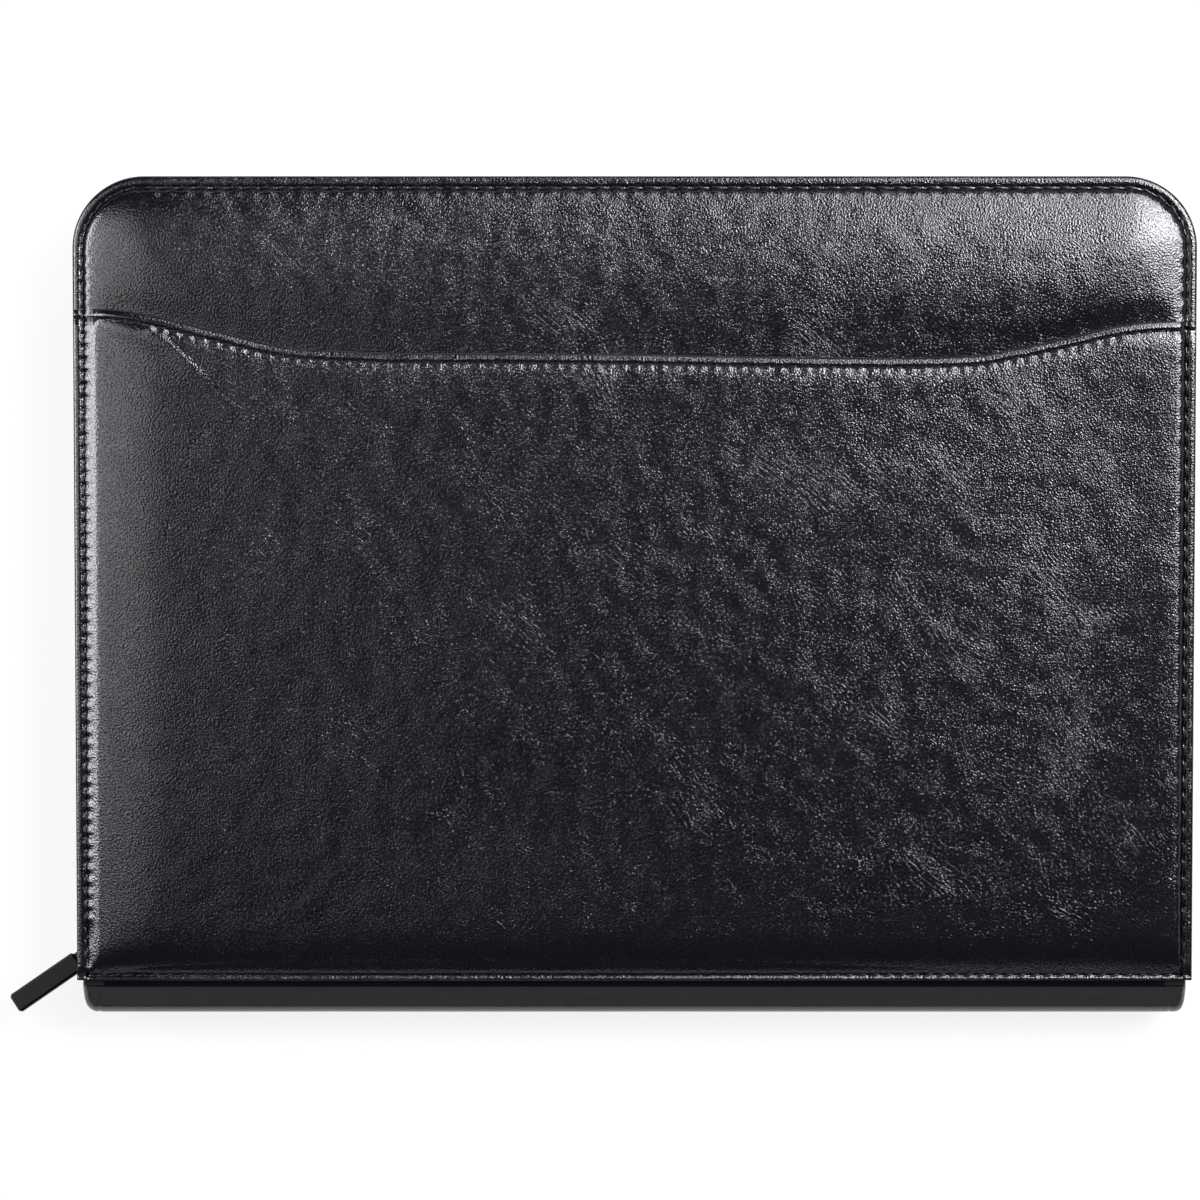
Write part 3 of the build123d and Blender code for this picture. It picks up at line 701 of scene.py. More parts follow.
def cover_place(column, row):
    """Plan position of a cover's vertex: rings follow the rounded corners."""
    last, radius = len(RING) - 1, CORNER_RADIUS
    kind, value = column
    if kind == "x":
        return value, row[1] if row[0] == "y" else OPENING_Y - RING[row[1]]
    sign = -1 if kind == "left" else 1
    if row[0] == "y":
        return sign * (HALF - RING[value]), row[1]
    ring = min(value, row[1])
    share = 0.0
    if ring < last:
        share = (last - max(value, row[1])) / (last - ring)
    turn = math.pi / 4 * (share if value <= row[1] else 2 - share)
    reach = radius - RING[ring]
    return sign * (HALF - radius + reach * math.cos(turn)), OPENING_Y - radius + reach * math.sin(turn)


def hem_direction(x, y):
    """Which way the turned hem runs in from a point on a cover's edge."""
    radius, near = CORNER_RADIUS, 0.01
    sign = math.copysign(1, x)
    way = Vector((0.0, 0.0))
    if y - FOLD_Y < near:
        way.y += 1
    if HALF - abs(x) < radius and OPENING_Y - y < radius:
        inward = Vector((HALF - radius - abs(x), OPENING_Y - radius - y)).normalized()
        way += inward * Vector((sign, 1))
    elif HALF - abs(x) < near:
        way.x -= sign
    elif OPENING_Y - y < near:
        way.y -= 1
    return way


# Distance in from the edge and height of each turn of the hem.
HEM = [(0.08, 0.6), (0.35, 0.2), (0.9, 0.02), (3.5, 0.0), (7.3, 0.0), (7.5, 0.7)]


def close_hem(bm):
    """Turn the leather's edge round to the inside and close it behind the lining."""
    edges = open_edges(bm)
    start = None

    def before(vert):
        """The vertex of the last turn that a new one grew from."""
        others = (edge.other_vert(vert) for edge in vert.link_edges)
        return next(other for other in others if other in start)

    for depth, height in HEM:
        verts, edges = grow_rim(bm, edges)
        if start is None:
            start = {vert: (vert.co.copy(), hem_direction(vert.co.x, vert.co.y)) for vert in verts}
        else:
            start = {vert: start[before(vert)] for vert in verts}
        for vert in verts:
            base, way = start[vert]
            step = way * depth
            # The spine strip passes under the fold edge, so the hem lies over it there.
            over = 1.4 * ease(HALF - abs(base.x), 0.5, 3.2) * ease(base.y, FOLD_Y + 9, FOLD_Y + 5)
            vert.co = (base.x + step.x, base.y + step.y, max(height, over))
    bmesh.ops.holes_fill(bm, edges=edges, sides=0)


def to_cover(bm, front):
    """Move a shape from a cover's own height to its place, outer face up or down."""
    if front:
        bmesh.ops.translate(bm, vec=(0, 0, FRONT_Z), verts=bm.verts)
    else:
        turn_over(bm, BACK_Z)


def edge_stitches(thread, height, keep):
    """Stitches round a cover's sewn edge where keep allows them."""
    sizes = settings()
    side_run, opening_run = rim_lengths()
    for left, pitch, end, lean in ((True, sizes.side_pitch, side_run, 0.16),
                                   (False, sizes.edge_pitch, side_run + opening_run, -0.16)):
        for k in range(1, int(end / pitch)):
            x, y = rim_point(left, k * pitch, SEAM_INSET)[:2]
            x, y, along = rim_point(left, k * pitch, SEAM_INSET * corner_growth(rim(x, y)[2]))
            if keep(x, y):
                way = Vector((along[0], along[1], 0))
                way.rotate(Matrix.Rotation(lean, 3, "Z"))
                add_stitch(thread, (x, y, height(x, y) + STITCH_LIFT), way, (0, 0, 1), pitch * STITCH_SHARE,
                           sizes.thread_width, 0.5)


def line_stitches(thread, pitch, first, last, point):
    """Stitches along a seam that runs across the cover through point(x)."""
    width = settings().thread_width
    half = pitch * STITCH_SHARE / 2
    for k in range(math.ceil(first / pitch), int(last / pitch) + 1):
        a, b = Vector(point(k * pitch - half)), Vector(point(k * pitch + half))
        way = b - a
        way.rotate(Matrix.Rotation(0.15, 3, "Z"))
        add_stitch(thread, (a + b) / 2 + Vector((0, 0, STITCH_LIFT)), way, (0, 0, 1), 2 * half, width, 0.5)


def finish_stitches(thread, name, body):
    """Sew a cover's stitches and finish them as one piece."""
    bm = sew(thread)
    to_cover(bm, body == "front_cover")
    finish_piece(bm, name, "polyester_thread", body)


def make_cover(name, step, rows, height, thread):
    """Make a cover's padded leather, with heights from a function of the place, and its stitches."""
    def place(column, row):
        x, y = cover_place(column, row)
        return x, y, height(x, y)

    bm = bmesh.new()
    grid_sheet(bm, cover_columns(step), cover_rows(rows), place)
    close_hem(bm)
    to_cover(bm, name == "front_cover")
    piece = finish_piece(bm, f"{name}_skin", "bonded_leather", name, [f"{name}_leather"])
    finish_stitches(thread, f"{name}_stitches", name)


class PADFOLIO_OT_finishes(bpy.types.Operator):
    """Make the materials and give the kept CAD parts theirs"""

    bl_idname = "padfolio.finishes"
    bl_label = "Finishes"

    def execute(self, context):
        make_finishes(context.scene.padfolio_colours, context.scene.padfolio_sizes)
        dress("coated_zinc", "slider_body", "slider_bail", "pull_link", "zip_pull", "zip_end_stops")
        dress("grey_board", "front_cover_board", "back_cover_board", "spine_board")
        dress("open_foam", "front_cover_foam", "back_cover_foam")
        dress("raw_card", "pad_card")
        dress("binding_paper", "pad_binding")
        dress("clear_pvc", "window_vinyl")
        return {"FINISHED"}


class PADFOLIO_OT_front_cover(bpy.types.Operator):
    """Make the front cover's padded leather and its edge seam"""

    bl_idname = "padfolio.front_cover"
    bl_label = "Front Cover"

    def execute(self, context):
        # The rows lie further apart where the pocket hides them.
        hidden_to = 66
        rows = spread(FOLD_Y + FOLD_RING[-1], hidden_to, 9)[1:]
        rows += spread(hidden_to, OPENING_Y - RING[-1], 0.96)[1:-1]
        thread = []
        edge_stitches(thread, cover_height, lambda x, y: y > mouth(x) + 1.0)
        make_cover("front_cover", 1.25, rows, lambda x, y: cover_height(x, y, 1.0), thread)
        return {"FINISHED"}


class PADFOLIO_OT_back_cover(bpy.types.Operator):
    """Make the back cover's padded leather and its seams"""

    bl_idname = "padfolio.back_cover"
    bl_label = "Back Cover"

    def execute(self, context):
        rows = spread(FOLD_Y + FOLD_RING[-1], OPENING_Y - RING[-1], 1.8)[1:-1]
        thread = []
        edge_stitches(thread, cover_height, lambda x, y: y > FOLD_Y + 4)
        line_stitches(thread, settings().fold_pitch, -HALF + 6, HALF - 6,
                      lambda x: (x, FOLD_Y + FOLD_SEAM, COVER_FOLD(FOLD_SEAM)))
        # The back lies flat on the table.
        make_cover("back_cover", 1.8, rows, lambda x, y: min(cover_height(x, y), BACK_Z - 0.02), thread)
        return {"FINISHED"}


class PADFOLIO_OT_outer_pocket(bpy.types.Operator):
    """Make the outer pocket with its rolled mouth, facing and seams"""

    bl_idname = "padfolio.outer_pocket"
    bl_label = "Outer Pocket"

    def execute(self, context):
        self.skin()
        self.stitches()
        self.facing()
        return {"FINISHED"}

    def skin(self):
        """The padded leather, whose rows follow the fold and the mouth and close up at the mouth."""
        low, high = FOLD_Y + FOLD_RING[-1], MOUTH_RING[-1]
        shares = spread(0, 1, 0.96 / (settings().mouth_level - high - low))[1:-1]
        rows = [("y", FOLD_Y + inset) for inset in FOLD_RING] + [("share", s) for s in shares] + \
            [("drop", d) for d in reversed(MOUTH_RING)]

        def place(column, row):
            kind, value = column
            x = value if kind == "x" else (HALF - POCKET_INSET - RING[value]) * (-1 if kind == "left" else 1)
            rise = mouth(x)
            if row[0] == "y":
                y = row[1]
            elif row[0] == "drop":
                y = rise - row[1]
            else:
                y = low + (rise - high - low) * row[1]
            return x, y, pocket_height(x, y)

        # The columns lie closer together along the crease.
        columns = [column for column in cover_columns(1.02)
                   if column[0] != "x" or not -150 < column[1] < -116]
        at = sum(column[0] == "left" for column in columns)
        columns[at:at] = [("x", x) for x in spread(-149, -116.5, 0.6)]
        bm = bmesh.new()
        grid_sheet(bm, columns, rows, place)
        self.turn_under(bm)
        to_cover(bm, True)
        piece = finish_piece(bm, "pocket_skin", "bonded_leather", "front_cover",
                             ["pocket_panel"])

    def turn_under(self, bm):
        """Turn the pocket's four edges under and close its hidden back."""
        edges = open_edges(bm)
        for step, drop in ((0.05, 0.35), (0.3, 0.35), (2.2, 0.1)):
            verts, edges = grow_rim(bm, edges)
            for vert in verts:
                x, y, z = vert.co
                side, fold, rise = HALF - abs(x), y - FOLD_Y, mouth(x) - y
                vert.co.x -= math.copysign(step, x) if side < 3 else 0
                vert.co.y += step if fold < 3 else (-step if rise < 3 else 0)
                vert.co.z = max(z - drop, 2.36)
        bmesh.ops.holes_fill(bm, edges=edges, sides=0)

    def stitches(self):
        """The seams of the pocket's two ends, its fold side and its mouth."""
        def at_mouth(x):
            y = mouth(x) - MOUTH_SEAM
            return x, y, pocket_height(x, y) + 0.1

        sizes = settings()
        thread = []
        edge_stitches(thread, pocket_height, lambda x, y: FOLD_Y + 4 < y < mouth(x) - 1.5)
        line_stitches(thread, sizes.fold_pitch, -HALF + 5, HALF - 5,
                      lambda x: (x, FOLD_Y + FOLD_SEAM, POCKET_FOLD(FOLD_SEAM)))
        line_stitches(thread, sizes.mouth_pitch, -HALF + 8, HALF - 8, at_mouth)
        finish_stitches(thread, "pocket_stitches", "front_cover")

    def facing(self):
        """The pocket's lining, whose edge shows as a second line above the mouth."""
        drops = [-0.3, -0.2, -0.05, 0.5, 2, 5, 12, 30, 60]

        def place(x, drop):
            y = FOLD_Y + 13 if drop == drops[-1] else mouth(x) - drop
            level = max(cover_height(x, y, 1.0) + 0.1, 4.9 * ease(HALF - abs(x), 4, 10))
            return x, y, level + 0.3 * ease(drop, -0.3, -0.15)

        bm = bmesh.new()
        grid_sheet(bm, spread(-HALF + FACING_INSET, HALF - FACING_INSET, 2.0), drops[::-1], place)
        to_cover(bm, True)
        piece = finish_piece(bm, "pocket_facing", "lining_cloth", "front_cover",
                             ["pocket_lining"], 0.35)


# Half the spine strip's section, from under a cover to the middle: place from the fold, and level.
STRIP_SECTION = [
    (8, 3.3), (1.8, 3.3), (0.2, 3.55), (-2.5, 5.15), (-5, 6.85), (-7.5, 8.55), (-9.1, 9.9), (-10.1, 11.6),
    (-10.5, 13.0), (-SPINE_DROP, MIDDLE_Z)]
# Where that half starts to bend with the fold and where it stops, in metres.
STRIP_BEND = ((-0.1195, 0.0037), (-0.1266, 0.0105))


class PADFOLIO_OT_spine(bpy.types.Operator):
    """Make the spine's leather strip with its hems, and its lining"""

    bl_idname = "padfolio.spine"
    bl_label = "Spine"

    def execute(self, context):
        self.strip()
        self.lining()
        return {"FINISHED"}

    def strip(self):
        """The leather and the stitches of its end hems, in two halves, one for each fold."""
        # The strip's soft ends reach a little way past the CAD's.
        reach = SPINE_HALF + 0.9
        section = [(FOLD_Y + place, level) for place, level in STRIP_SECTION]
        run_to = [0.0]
        for (ay, az), (by, bz) in zip(section, section[1:]):
            run_to.append(run_to[-1] + math.hypot(by - ay, bz - az))
        place_at = profile([(run, y) for run, (y, z) in zip(run_to, section)])
        level_at = profile([(run, z) for run, (y, z) in zip(run_to, section)])
        total = run_to[-1]

        def strip_point(run):
            """Place and level of the strip's outer face, and its outward direction, along half the strip."""
            a, b = max(run - 0.3, 0), min(run + 0.3, total)
            way = Vector((place_at(b) - place_at(a), level_at(b) - level_at(a))).normalized()
            return place_at(run), level_at(run), (-way.y, way.x)

        def strip_place(x, run):
            """A point of the strip, with its rounded ends, its hems' grooves and a slight unevenness."""
            y, z, out = strip_point(run)
            end = reach - abs(x)
            radius = 3.5 if x < 0 else 2.2
            tuck = 0.0
            if end < radius:
                tuck = radius - math.sqrt(radius ** 2 - (radius - end) ** 2)
            if y < FOLD_Y:
                y += tuck * (FOLD_Y - y) / SPINE_DROP
            sink = 0.22 * bell(end, STRIP_SEAM, 0.4) + 0.5 * (1 - ease(end, 0, 0.6))
            sink += 0.12 * ripple(x, run, 40, 3.1) ** 2
            return x, y - out[0] * sink, z - out[1] * sink

        end_insets = [0, 0.1, 0.3, 0.6, 1.0, 1.5, 2.1, 2.7, 3.2, 3.7, 4.2, 4.8, 5.6, 7, 9]
        columns = [-reach + e for e in end_insets] + spread(-reach + 9, reach - 9, 5)[1:-1] + \
            [reach - e for e in reversed(end_insets)]
        runs = [total - r for r in (0, 1, 2, 3.2, 4.4, 5.3)]
        runs += spread(total - 5.35, total - 14.0, 0.8) + [1.5, 0]
        thread = []
        for x in (-reach + STRIP_SEAM, reach - STRIP_SEAM):
            for run in spread(7, total - 1.2, 2.7):
                a, b = Vector(strip_place(x, run - 0.9)), Vector(strip_place(x, run + 0.9))
                add_stitch(thread, (a + b) / 2, b - a, (0, *strip_point(run)[2]), 2.1, 0.55, 0.45)
        for front in (False, True):
            name = "front" if front else "back"
            bodies = ("spine", "front_cover") if front else ("back_cover", "spine")
            ends = [(0, y, z) for y, z in STRIP_BEND]
            if front:
                ends = [(0, y, 2 * MIDDLE_Z * MM - z) for y, z in reversed(STRIP_BEND)]
            leather = bmesh.new()
            grid_sheet(leather, columns, runs[::-1], strip_place)
            bmesh.ops.reverse_faces(leather, faces=leather.faces)
            stitches = sew(thread)
            if front:
                turn_over(leather, 2 * MIDDLE_Z)
                turn_over(stitches, 2 * MIDDLE_Z)
            finish_piece(leather, f"spine_strip_{name}", "bonded_leather_skived", None,
                         ["spine_leather"], 0.8, (*bodies, *ends))
            finish_piece(stitches, f"spine_stitches_{name}", "polyester_thread", None,
                         blend=(*bodies, *ends))

    def lining(self):
        """The lining strip, bowed a little into the case."""
        low, high = box_mm("spine_lining")
        bm = bmesh.new()
        grid_sheet(bm, spread(low[0], high[0], 8), spread(low[2], high[2], 1),
                   lambda x, z: (x, high[1] - 0.3 * (1 - bell(z, MIDDLE_Z, 4)), z))
        strip = finish_piece(bm, "spine_lining_strip", "lining_cloth", "spine",
                             ["spine_lining"], 0.4)


# A tooth's length across the gap, its width along the tape and its height.
TOOTH_SIZE = (3.1, 0.95, 2.3)
# The front row starts at this place on the left side, clear of the slider at rest.
FRONT_ROW_START = -103.6


class PADFOLIO_OT_zip(bpy.types.Operator):
    """Make the zip's two tapes and its rows of teeth"""

    bl_idname = "padfolio.zip"
    bl_label = "Zip"

    def execute(self, context):
        for front in (False, True):
            name = "front" if front else "back"
            low, high = box_mm(f"{name}_zip_teeth")
            self.tape(name, front, low[2] + 0.6 if front else high[2] - 0.6)
            self.teeth(name, front, low[2] + 1.35 if front else high[2] - 1.35)
        return {"FINISHED"}

    def tape(self, name, front, edge_z):
        """A tape that stands across the gap and turns out under the leather's hem, where it is sewn."""
        side_run, opening_run = rim_lengths()
        start = TAPE_END_Y - FOLD_Y
        path = [(True, run) for run in spread(start, side_run, 3)]
        path += [(False, run) for run in spread(side_run + opening_run - 3, start, 3)]
        inner, outward = (FRONT_Z, 1) if front else (BACK_Z, -1)
        reach = abs(inner - edge_z)
        section = [(TAPE_INSET, -h) for h in spread(reach, 0, 1)] + [(7.9, 0.5), (7.5, 0.85)]
        section += [(inset, 0.9) for inset in (6.5, 5, 3.5, 2.5)]
        if front:
            section.reverse()

        def place(column, row):
            left, run = column
            inset, height = row
            sway = 0.12 * math.sin(run / 7) * outward if height < 0 else 0
            x, y = rim_point(left, run, inset + sway)[:2]
            return x, y, inner + outward * height

        bm = bmesh.new()
        grid_sheet(bm, path, section, place)
        tape = finish_piece(bm, f"{name}_tape", "zip_tape_twill", f"{name}_cover",
                            [f"{name}_zip_tape"], 0.7)

    def teeth(self, name, front, row_z):
        """A row of separate teeth, those of the front row between those of the back row."""
        side_run, opening_run = rim_lengths()
        pitch = settings().tooth_pitch
        shift, slope = (pitch / 2, 0.35) if front else (0, -0.35)
        row = []
        for left in (True, False):
            last = side_run if left else side_run + opening_run
            first = FRONT_ROW_START - FOLD_Y + 1 if front and left else 0.6
            for run in spread(first, last, pitch):
                x, y, along = rim_point(left, run + shift, TOOTH_INSET)
                across = Vector((*along, slope)).cross((0, 0, 1)).normalized()
                add_stitch(row, (x, y, row_z), (0, 0, 1), across, *TOOTH_SIZE)
        finish_piece(sew(row), f"{name}_teeth", "polyester_coil", f"{name}_cover",
                     [f"{name}_zip_teeth"])


def sewn_panel(bm, low, high, outward, sewn, waves=0.15, step=5.0, gap=None):
    """A flat sewn panel between two corners, its face towards outward, with grooves along its sewn sides."""
    insets = [0, 0.25, 0.6, 1.1, 1.6, 2.0, 2.4, 2.9, 4.0]

    def places(a, b, cuts):
        """Close together near both edges, about step apart between them, and at the gap's edges."""
        edge = [a + i for i in insets] + [b - i for i in reversed(insets)]
        inner = spread(a + 4, b - 4, step)[1:-1]
        return sorted(set(edge + [v for v in inner if all(abs(v - c) > 1 for c in cuts)] + list(cuts)))

    face, base = (high[2], low[2]) if outward > 0 else (low[2], high[2])
    rise = abs(face - base)
    rounding = [(0, -0.35), (0.25, -0.12), (0.6, 0)]
    roll = profile(rounding + [(1.1, 0.02), (1.6, -0.12), (2.0, -0.2), (2.4, -0.12), (4, 0)])
    plain = profile(rounding + [(4, 0)])

    def place(x, y):
        sides = {"left": x - low[0], "right": high[0] - x, "fold": y - low[1], "opening": high[1] - y}
        dip = min((roll if side in sewn else plain)(d) for side, d in sides.items())
        inner = ease(min(sides.values()), 3, 25)
        # The panel never rises to the level of its own edges, so a sheet that lies on them stays clear of it.
        wave = min(-0.04 * inner, waves * inner * (ripple(x, y, 30, 5.5) - 0.3))
        return x, y, face + outward * (rise * 0.5 * dip + wave)

    xs = places(low[0], high[0], (gap[0], gap[2]) if gap else ())
    ys = places(low[1], high[1], (gap[1], gap[3]) if gap else ())
    grid_sheet(bm, xs, ys, place)
    if gap:
        inside = [f for f in bm.faces if gap[0] < f.calc_center_median().x < gap[2]
                  and gap[1] < f.calc_center_median().y < gap[3]]
        bmesh.ops.delete(bm, geom=inside, context="FACES")
    if outward < 0:
        bmesh.ops.reverse_faces(bm, faces=bm.faces)


def panel_stitches(thread, low, high, outward, sewn):
    """Stitches along a panel's sewn sides."""
    pitch, inset = 3.4, 2.0
    z = (high[2] - 0.02) if outward > 0 else (low[2] + 0.02)
    seams = {"left": low[0] + inset, "right": high[0] - inset,
             "fold": low[1] + inset, "opening": high[1] - inset}
    for side in sewn:
        across = side in ("fold", "opening")
        a, b = (low[0], high[0]) if across else (low[1], high[1])
        for place in spread(a + inset + 1, b - inset - 1, pitch):
            point = (place, seams[side], z) if across else (seams[side], place, z)
            way = (1, 0.12, 0) if across else (0.12, 1, 0)
            add_stitch(thread, point, way, (0, 0, outward), pitch * STITCH_SHARE, 0.55, 0.4)


ORGANISER = (
    # node, sewn sides, what it lies on
    ("file_pocket", ("left", "right", "opening"), "front_lining_cloth"),
    ("card_pocket_1", ("fold", "opening", "right"), "file_pocket_panel"),
    ("card_pocket_2", ("fold", "opening", "right"), "file_pocket_panel"),
    ("card_pocket_3", ("fold", "opening", "right"), "file_pocket_panel"),
)


class PADFOLIO_OT_linings(bpy.types.Operator):
    """Make the lining cloth of both covers"""

    bl_idname = "padfolio.linings"
    bl_label = "Linings"

    def execute(self, context):
        for front in (False, True):
            name = "front" if front else "back"
            low, high = box_mm(f"{name}_lining")
            face, outward = (low[2], -1) if front else (high[2], 1)
            rings = [k for k in range(len(RING)) if RING[k] > HALF - high[0]]
            columns = [("left", k) for k in rings] + [("x", x) for x in spread(-149, 149, 6)] + \
                [("right", k) for k in reversed(rings)]
            rows = [("y", y) for y in spread(low[1], OPENING_Y - 22.5, 6)]
            rows += [("opening", k) for k in reversed(rings)]

            def place(column, row):
                x, y = cover_place(column, row)
                depth = min(rim(x, y)[0] - 10, y - low[1])
                wave = 0.12 * ease(depth, 0, 12) * (ripple(x, y, 42, 8.8) - 0.6)
                return x, y, face + outward * (wave - 0.05)

            bm = bmesh.new()
            grid_sheet(bm, columns, rows, place)
            if front:
                bmesh.ops.reverse_faces(bm, faces=bm.faces)
            piece = finish_piece(bm, f"{name}_lining_cloth", "lining_cloth", f"{name}_cover",
                                 [f"{name}_lining"], 0.35)
        return {"FINISHED"}


class PADFOLIO_OT_organiser(bpy.types.Operator):
    """Make the file pocket, the card pockets, the window's frame and the pen loop"""

    bl_idname = "padfolio.organiser"
    bl_label = "Organiser"

    def execute(self, context):
        thread = []
        for node, sewn, base in ORGANISER:
            low, high = box_mm(node)
            if node == "file_pocket":
                high[2] = low[2] + PANEL_THICKNESS
            bm = bmesh.new()
            sewn_panel(bm, low, high, -1, sewn)
            panel = finish_piece(bm, f"{node}_panel", "bonded_leather_skived", "front_cover",
                                 [node], 0.5)
            panel_stitches(thread, low, high, -1, sewn)
        self.window_border(thread)
        finish_piece(sew(thread), "organiser_stitches", "polyester_thread", "front_cover")
        self.pen_loop()
        return {"FINISHED"}

    def window_border(self, thread):
        """The leather frame round the clear window."""
        low, high = box_mm("window_frame")
        border, sides = 9, ("left", "right", "fold", "opening")
        gap = (low[0] + border, low[1] + border, high[0] - border, high[1] - border)
        bm = bmesh.new()
        sewn_panel(bm, low, high, -1, sides, 0.0, 5.0, gap)
        piece = finish_piece(bm, "window_border", "bonded_leather_skived", "front_cover",
                             ["window_frame"], 0.6)
        panel_stitches(thread, low, high, -1, sides)

    def pen_loop(self):
        """An elastic tube round the pen under a sewn tab."""
        low, high = box_mm("pen_loop")
        radius = 5.9
        axis_y, axis_z = (low[1] + high[1]) / 2, low[2] + radius

        def place(x, turn):
            # The elastic's ribs are 2.5 mm wide.
            puff = radius - 0.15 + 0.03 * math.cos(2 * math.pi * x / 2.5)
            return x, axis_y + puff * math.sin(turn), axis_z - puff * math.cos(turn)

        bm = bmesh.new()
        grid_sheet(bm, spread(low[0], high[0], 0.6), spread(0, 2 * math.pi, 0.13), place)
        bmesh.ops.remove_doubles(bm, verts=bm.verts, dist=0.001)
        bmesh.ops.recalc_face_normals(bm, faces=bm.faces)
        tab = bmesh.new()
        sewn_panel(tab, (low[0], low[1], high[2] - 1.0), high, -1, ("fold", "opening"), 0.0, 2.0)
        join_in(bm, tab)
        band = finish_piece(bm, "pen_loop_band", "elastic_webbing", "front_cover",
                            ["pen_loop"], 0.8)


class PADFOLIO_OT_writing_pad(bpy.types.Operator):
    """Make the pad's holder and its sheets"""

    bl_idname = "padfolio.writing_pad"
    bl_label = "Writing Pad"

    def execute(self, context):
        self.holder()
        self.sheets()
        return {"FINISHED"}

    def holder(self):
        """The panel that the pad's card slips behind, and its seam."""
        low, high = box_mm("pad_holder")
        sewn = ("fold", "opening", "right")
        bm = bmesh.new()
        sewn_panel(bm, (low[0], low[1], high[2] - PANEL_THICKNESS), high, 1, sewn)
        panel = finish_piece(bm, "pad_holder_panel", "lining_cloth", "back_cover",
                             ["pad_holder"], 0.5)
        thread = []
        panel_stitches(thread, low, high, 1, sewn)
        finish_piece(sew(thread), "pad_holder_stitches", "polyester_thread", "back_cover")

    def sheets(self):
        """The stack of sheets, with a curled corner and edges that don't quite line up."""
        low, high = box_mm("pad_sheets")
        corner = high[0] + 0.6 * high[1]

        def place(x, y):
            curl = ease(x + 0.6 * y, corner - 40, corner)
            return x, y, high[2] + 0.9 * curl * curl

        bm = bmesh.new()
        grid_sheet(bm, spread(low[0], high[0], 8), spread(low[1], high[1], 8), place)
        edges = open_edges(bm)
        layers = 6
        for layer in range(1, layers + 1):
            slip, share = 0.12 * math.sin(layer * 2.4), layer / layers
            verts, edges = grow_rim(bm, edges)
            for vert in verts:
                vert.co.x = min(high[0], max(low[0], vert.co.x * (1 + slip / high[0])))
                vert.co.z = place(vert.co.x, vert.co.y)[2] * (1 - share) + low[2] * share
        bmesh.ops.holes_fill(bm, edges=edges, sides=0)
        finish_piece(bm, "writing_sheets", "ruled_paper", "back_cover", ["pad_sheets"])


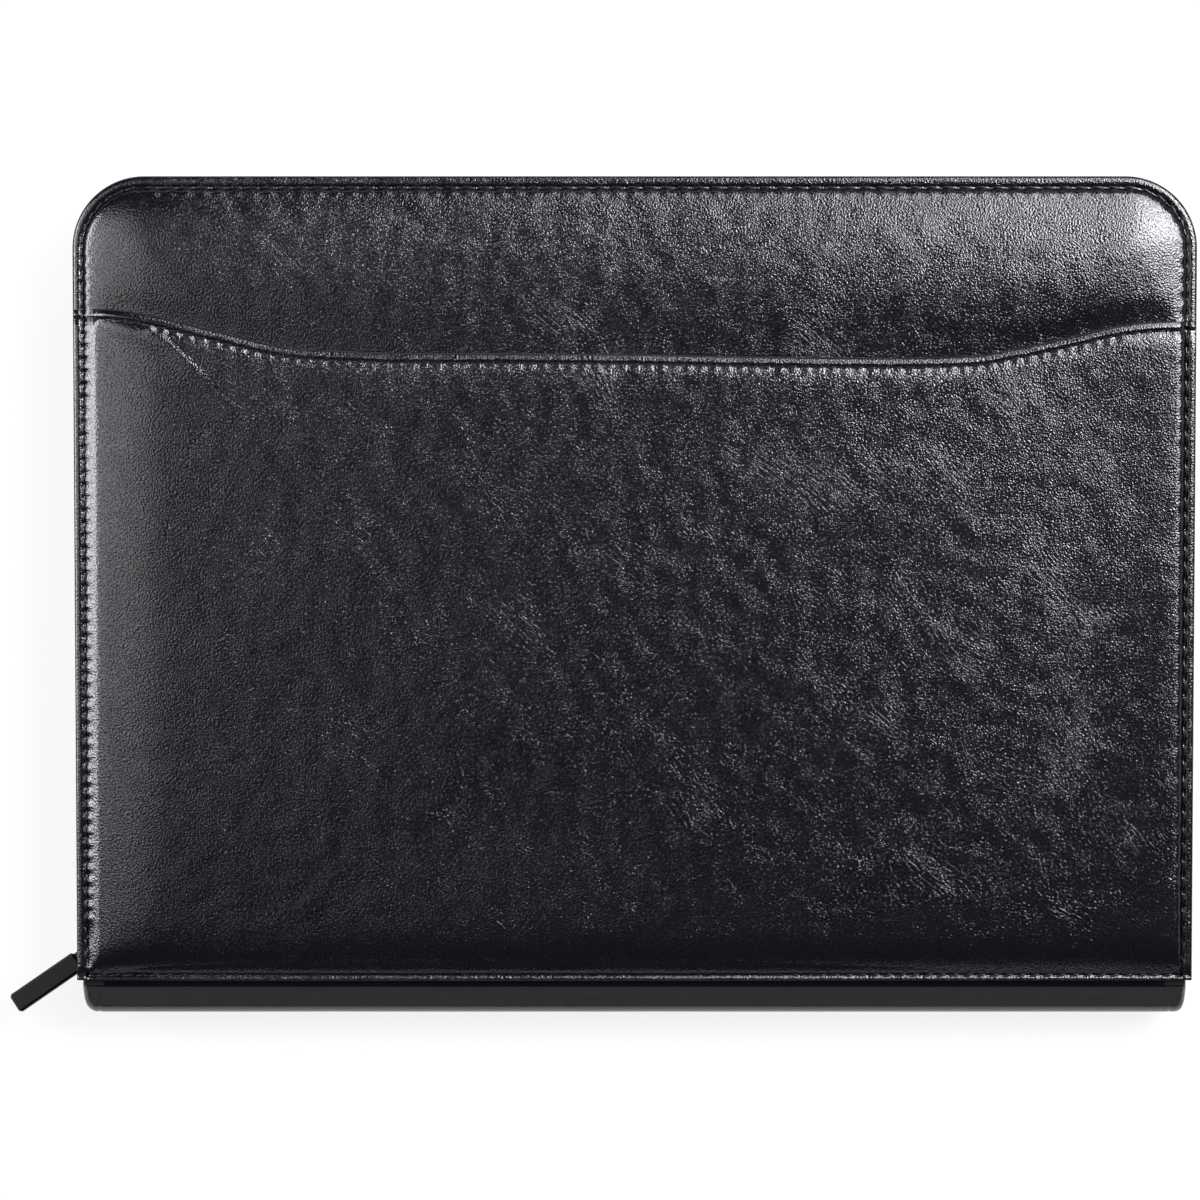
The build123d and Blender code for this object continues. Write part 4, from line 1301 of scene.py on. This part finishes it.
class PADFOLIO_OT_stage(bpy.types.Operator):
    """Set the floor, the lamps, the world and the camera"""

    bl_idname = "padfolio.stage"
    bl_label = "Stage"

    def execute(self, context):
        scene, stage = context.scene, context.scene.padfolio_stage
        self.floor(scene)
        self.lamps(scene, stage)
        world = bpy.data.worlds.new("studio")
        world.use_nodes = True
        world.node_tree.nodes["Background"].inputs["Color"].default_value = (0.03, 0.032, 0.042, 1)
        scene.world = world
        self.camera(scene, stage)
        scene.view_settings.view_transform = "Standard"
        return {"FINISHED"}

    def floor(self, scene):
        """A wide floor just under the case."""
        bm = bmesh.new()
        bmesh.ops.create_grid(bm, x_segments=8, y_segments=8, size=3.0)
        mesh = bpy.data.meshes.new("floor")
        bm.to_mesh(mesh)
        bm.free()
        floor = bpy.data.objects.new("floor", mesh)
        scene.collection.objects.link(floor)
        floor.location.z = -0.0005
        mesh.materials.append(self.floor_paint())

    def lamps(self, scene, stage):
        """Area lamps, each with its power, place, aim, width and depth."""
        for name, power, spot, aim, width, depth in (
                ("key_lamp", stage.key_power, (0.6, 0.57, 1.05), (0.05, 0.04, 0), 0.5, 0.65),
                ("left_lamp", stage.left_power, (-0.7, 0.16, 1.02), (-0.1, 0, 0), 0.7, 0.75),
                ("low_left_lamp", 6.3, (-1.12, 0.2, 0.6), (-0.15, 0.05, 0), 0.8, 0.6),
                ("right_lamp", 4.9, (0.75, 0.27, 0.74), (0.14, 0.1, 0), 0.32, 0.7),
                ("back_lamp", 4.6, (0.5, 1.0, 0.76), (0.1, 0.1, 0), 0.8, 0.6),
                ("front_lamp", 0.72, (0.05, -1.5, 0.33), (0, -0.12, 0), 1.8, 0.4),
                ("overhead_lamp", 0.05, (0, 0.1, 1.9), (0, 0.05, 0), 0.8, 0.6)):
            lamp = bpy.data.lights.new(name, "AREA")
            lamp.energy = power
            lamp.shape = "RECTANGLE"
            lamp.size = width
            lamp.size_y = depth
            holder = bpy.data.objects.new(name, lamp)
            holder.location = spot
            holder.rotation_euler = (Vector(aim) - Vector(spot)).to_track_quat("-Z", "Y").to_euler()
            scene.collection.objects.link(holder)

    def camera(self, scene, stage):
        """The photograph's view, whose frame is 366.8 mm wide at the cover."""
        frame_width = 0.3668
        camera = bpy.data.cameras.new("camera")
        view = bpy.data.objects.new("camera", camera)
        scene.collection.objects.link(view)
        target, distance, tilt = Vector((-0.0106, -0.0022, 0.028)), stage.camera_distance, stage.camera_tilt
        view.location = target + distance * Vector((0, math.sin(tilt), math.cos(tilt)))
        view.rotation_euler = (-tilt, 0, 0)
        camera.sensor_width = 36
        camera.lens = camera.sensor_width * distance / frame_width
        scene.camera = view

    def floor_paint(self):
        """Matt white paper sweep: shows as white and keeps the case's shadow."""
        material = bpy.data.materials.new("white_paper_sweep")
        material.use_nodes = True
        tree = material.node_tree
        tree.nodes.remove(tree.nodes["Principled BSDF"])
        rays = add_node(tree, "LightPath").outputs
        seen = add_node(tree, "Math", {0: rays["Is Camera Ray"], 1: rays["Is Transmission Ray"]},
                        operation="MAXIMUM")
        # With the light that falls on the floor, it comes to white where seen and a little less in a mirror.
        seen_glow, mirrored_glow = 0.84, 0.66
        mirrored = add_node(tree, "Math", {0: rays["Is Glossy Ray"], 1: mirrored_glow}, operation="MULTIPLY")
        glow = add_node(tree, "Math", {0: seen, 1: seen_glow, 2: mirrored}, operation="MULTIPLY_ADD")
        matt = add_node(tree, "BsdfDiffuse", {"Color": (0.27, 0.27, 0.27, 1)})
        light = add_node(tree, "Emission", {"Strength": glow})
        both = add_node(tree, "AddShader", {0: matt, 1: light})
        tree.links.new(both.outputs[0], tree.nodes["Material Output"].inputs["Surface"])
        return material


GROUPS = (
    ("padfolio_sizes", PadfolioSizes),
    ("padfolio_colours", PadfolioColours),
    ("padfolio_stage", PadfolioStage),
)
OPERATORS = (
    PADFOLIO_OT_finishes, PADFOLIO_OT_front_cover, PADFOLIO_OT_outer_pocket, PADFOLIO_OT_back_cover,
    PADFOLIO_OT_spine, PADFOLIO_OT_zip, PADFOLIO_OT_linings, PADFOLIO_OT_organiser, PADFOLIO_OT_writing_pad,
    PADFOLIO_OT_stage,
)


class PADFOLIO_PT_builder(bpy.types.Panel):
    """Lists the steps that build the padfolio"""

    bl_idname = "PADFOLIO_PT_builder"
    bl_label = "Padfolio"
    bl_space_type = "VIEW_3D"
    bl_region_type = "UI"
    bl_category = "Padfolio"

    def draw(self, context):
        for group, kind in GROUPS:
            holder = getattr(context.scene, group)
            for name in holder.__annotations__:
                self.layout.prop(holder, name)
        for operator in OPERATORS:
            self.layout.operator(operator.bl_idname)


def register():
    """Register the property groups, the operators and the panel."""
    for name, group in GROUPS:
        bpy.utils.register_class(group)
        setattr(bpy.types.Scene, name, PointerProperty(type=group))
    for cls in OPERATORS + (PADFOLIO_PT_builder,):
        bpy.utils.register_class(cls)


def unregister():
    """Take everything off again in the opposite order."""
    for cls in reversed(OPERATORS + (PADFOLIO_PT_builder,)):
        bpy.utils.unregister_class(cls)
    for name, group in reversed(GROUPS):
        delattr(bpy.types.Scene, name)
        bpy.utils.unregister_class(group)


def main():
    """Register the add-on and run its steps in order."""
    register()
    for operator in OPERATORS:
        group, step = operator.bl_idname.split(".")
        getattr(getattr(bpy.ops, group), step)()


if __name__ == "__main__":
    main()
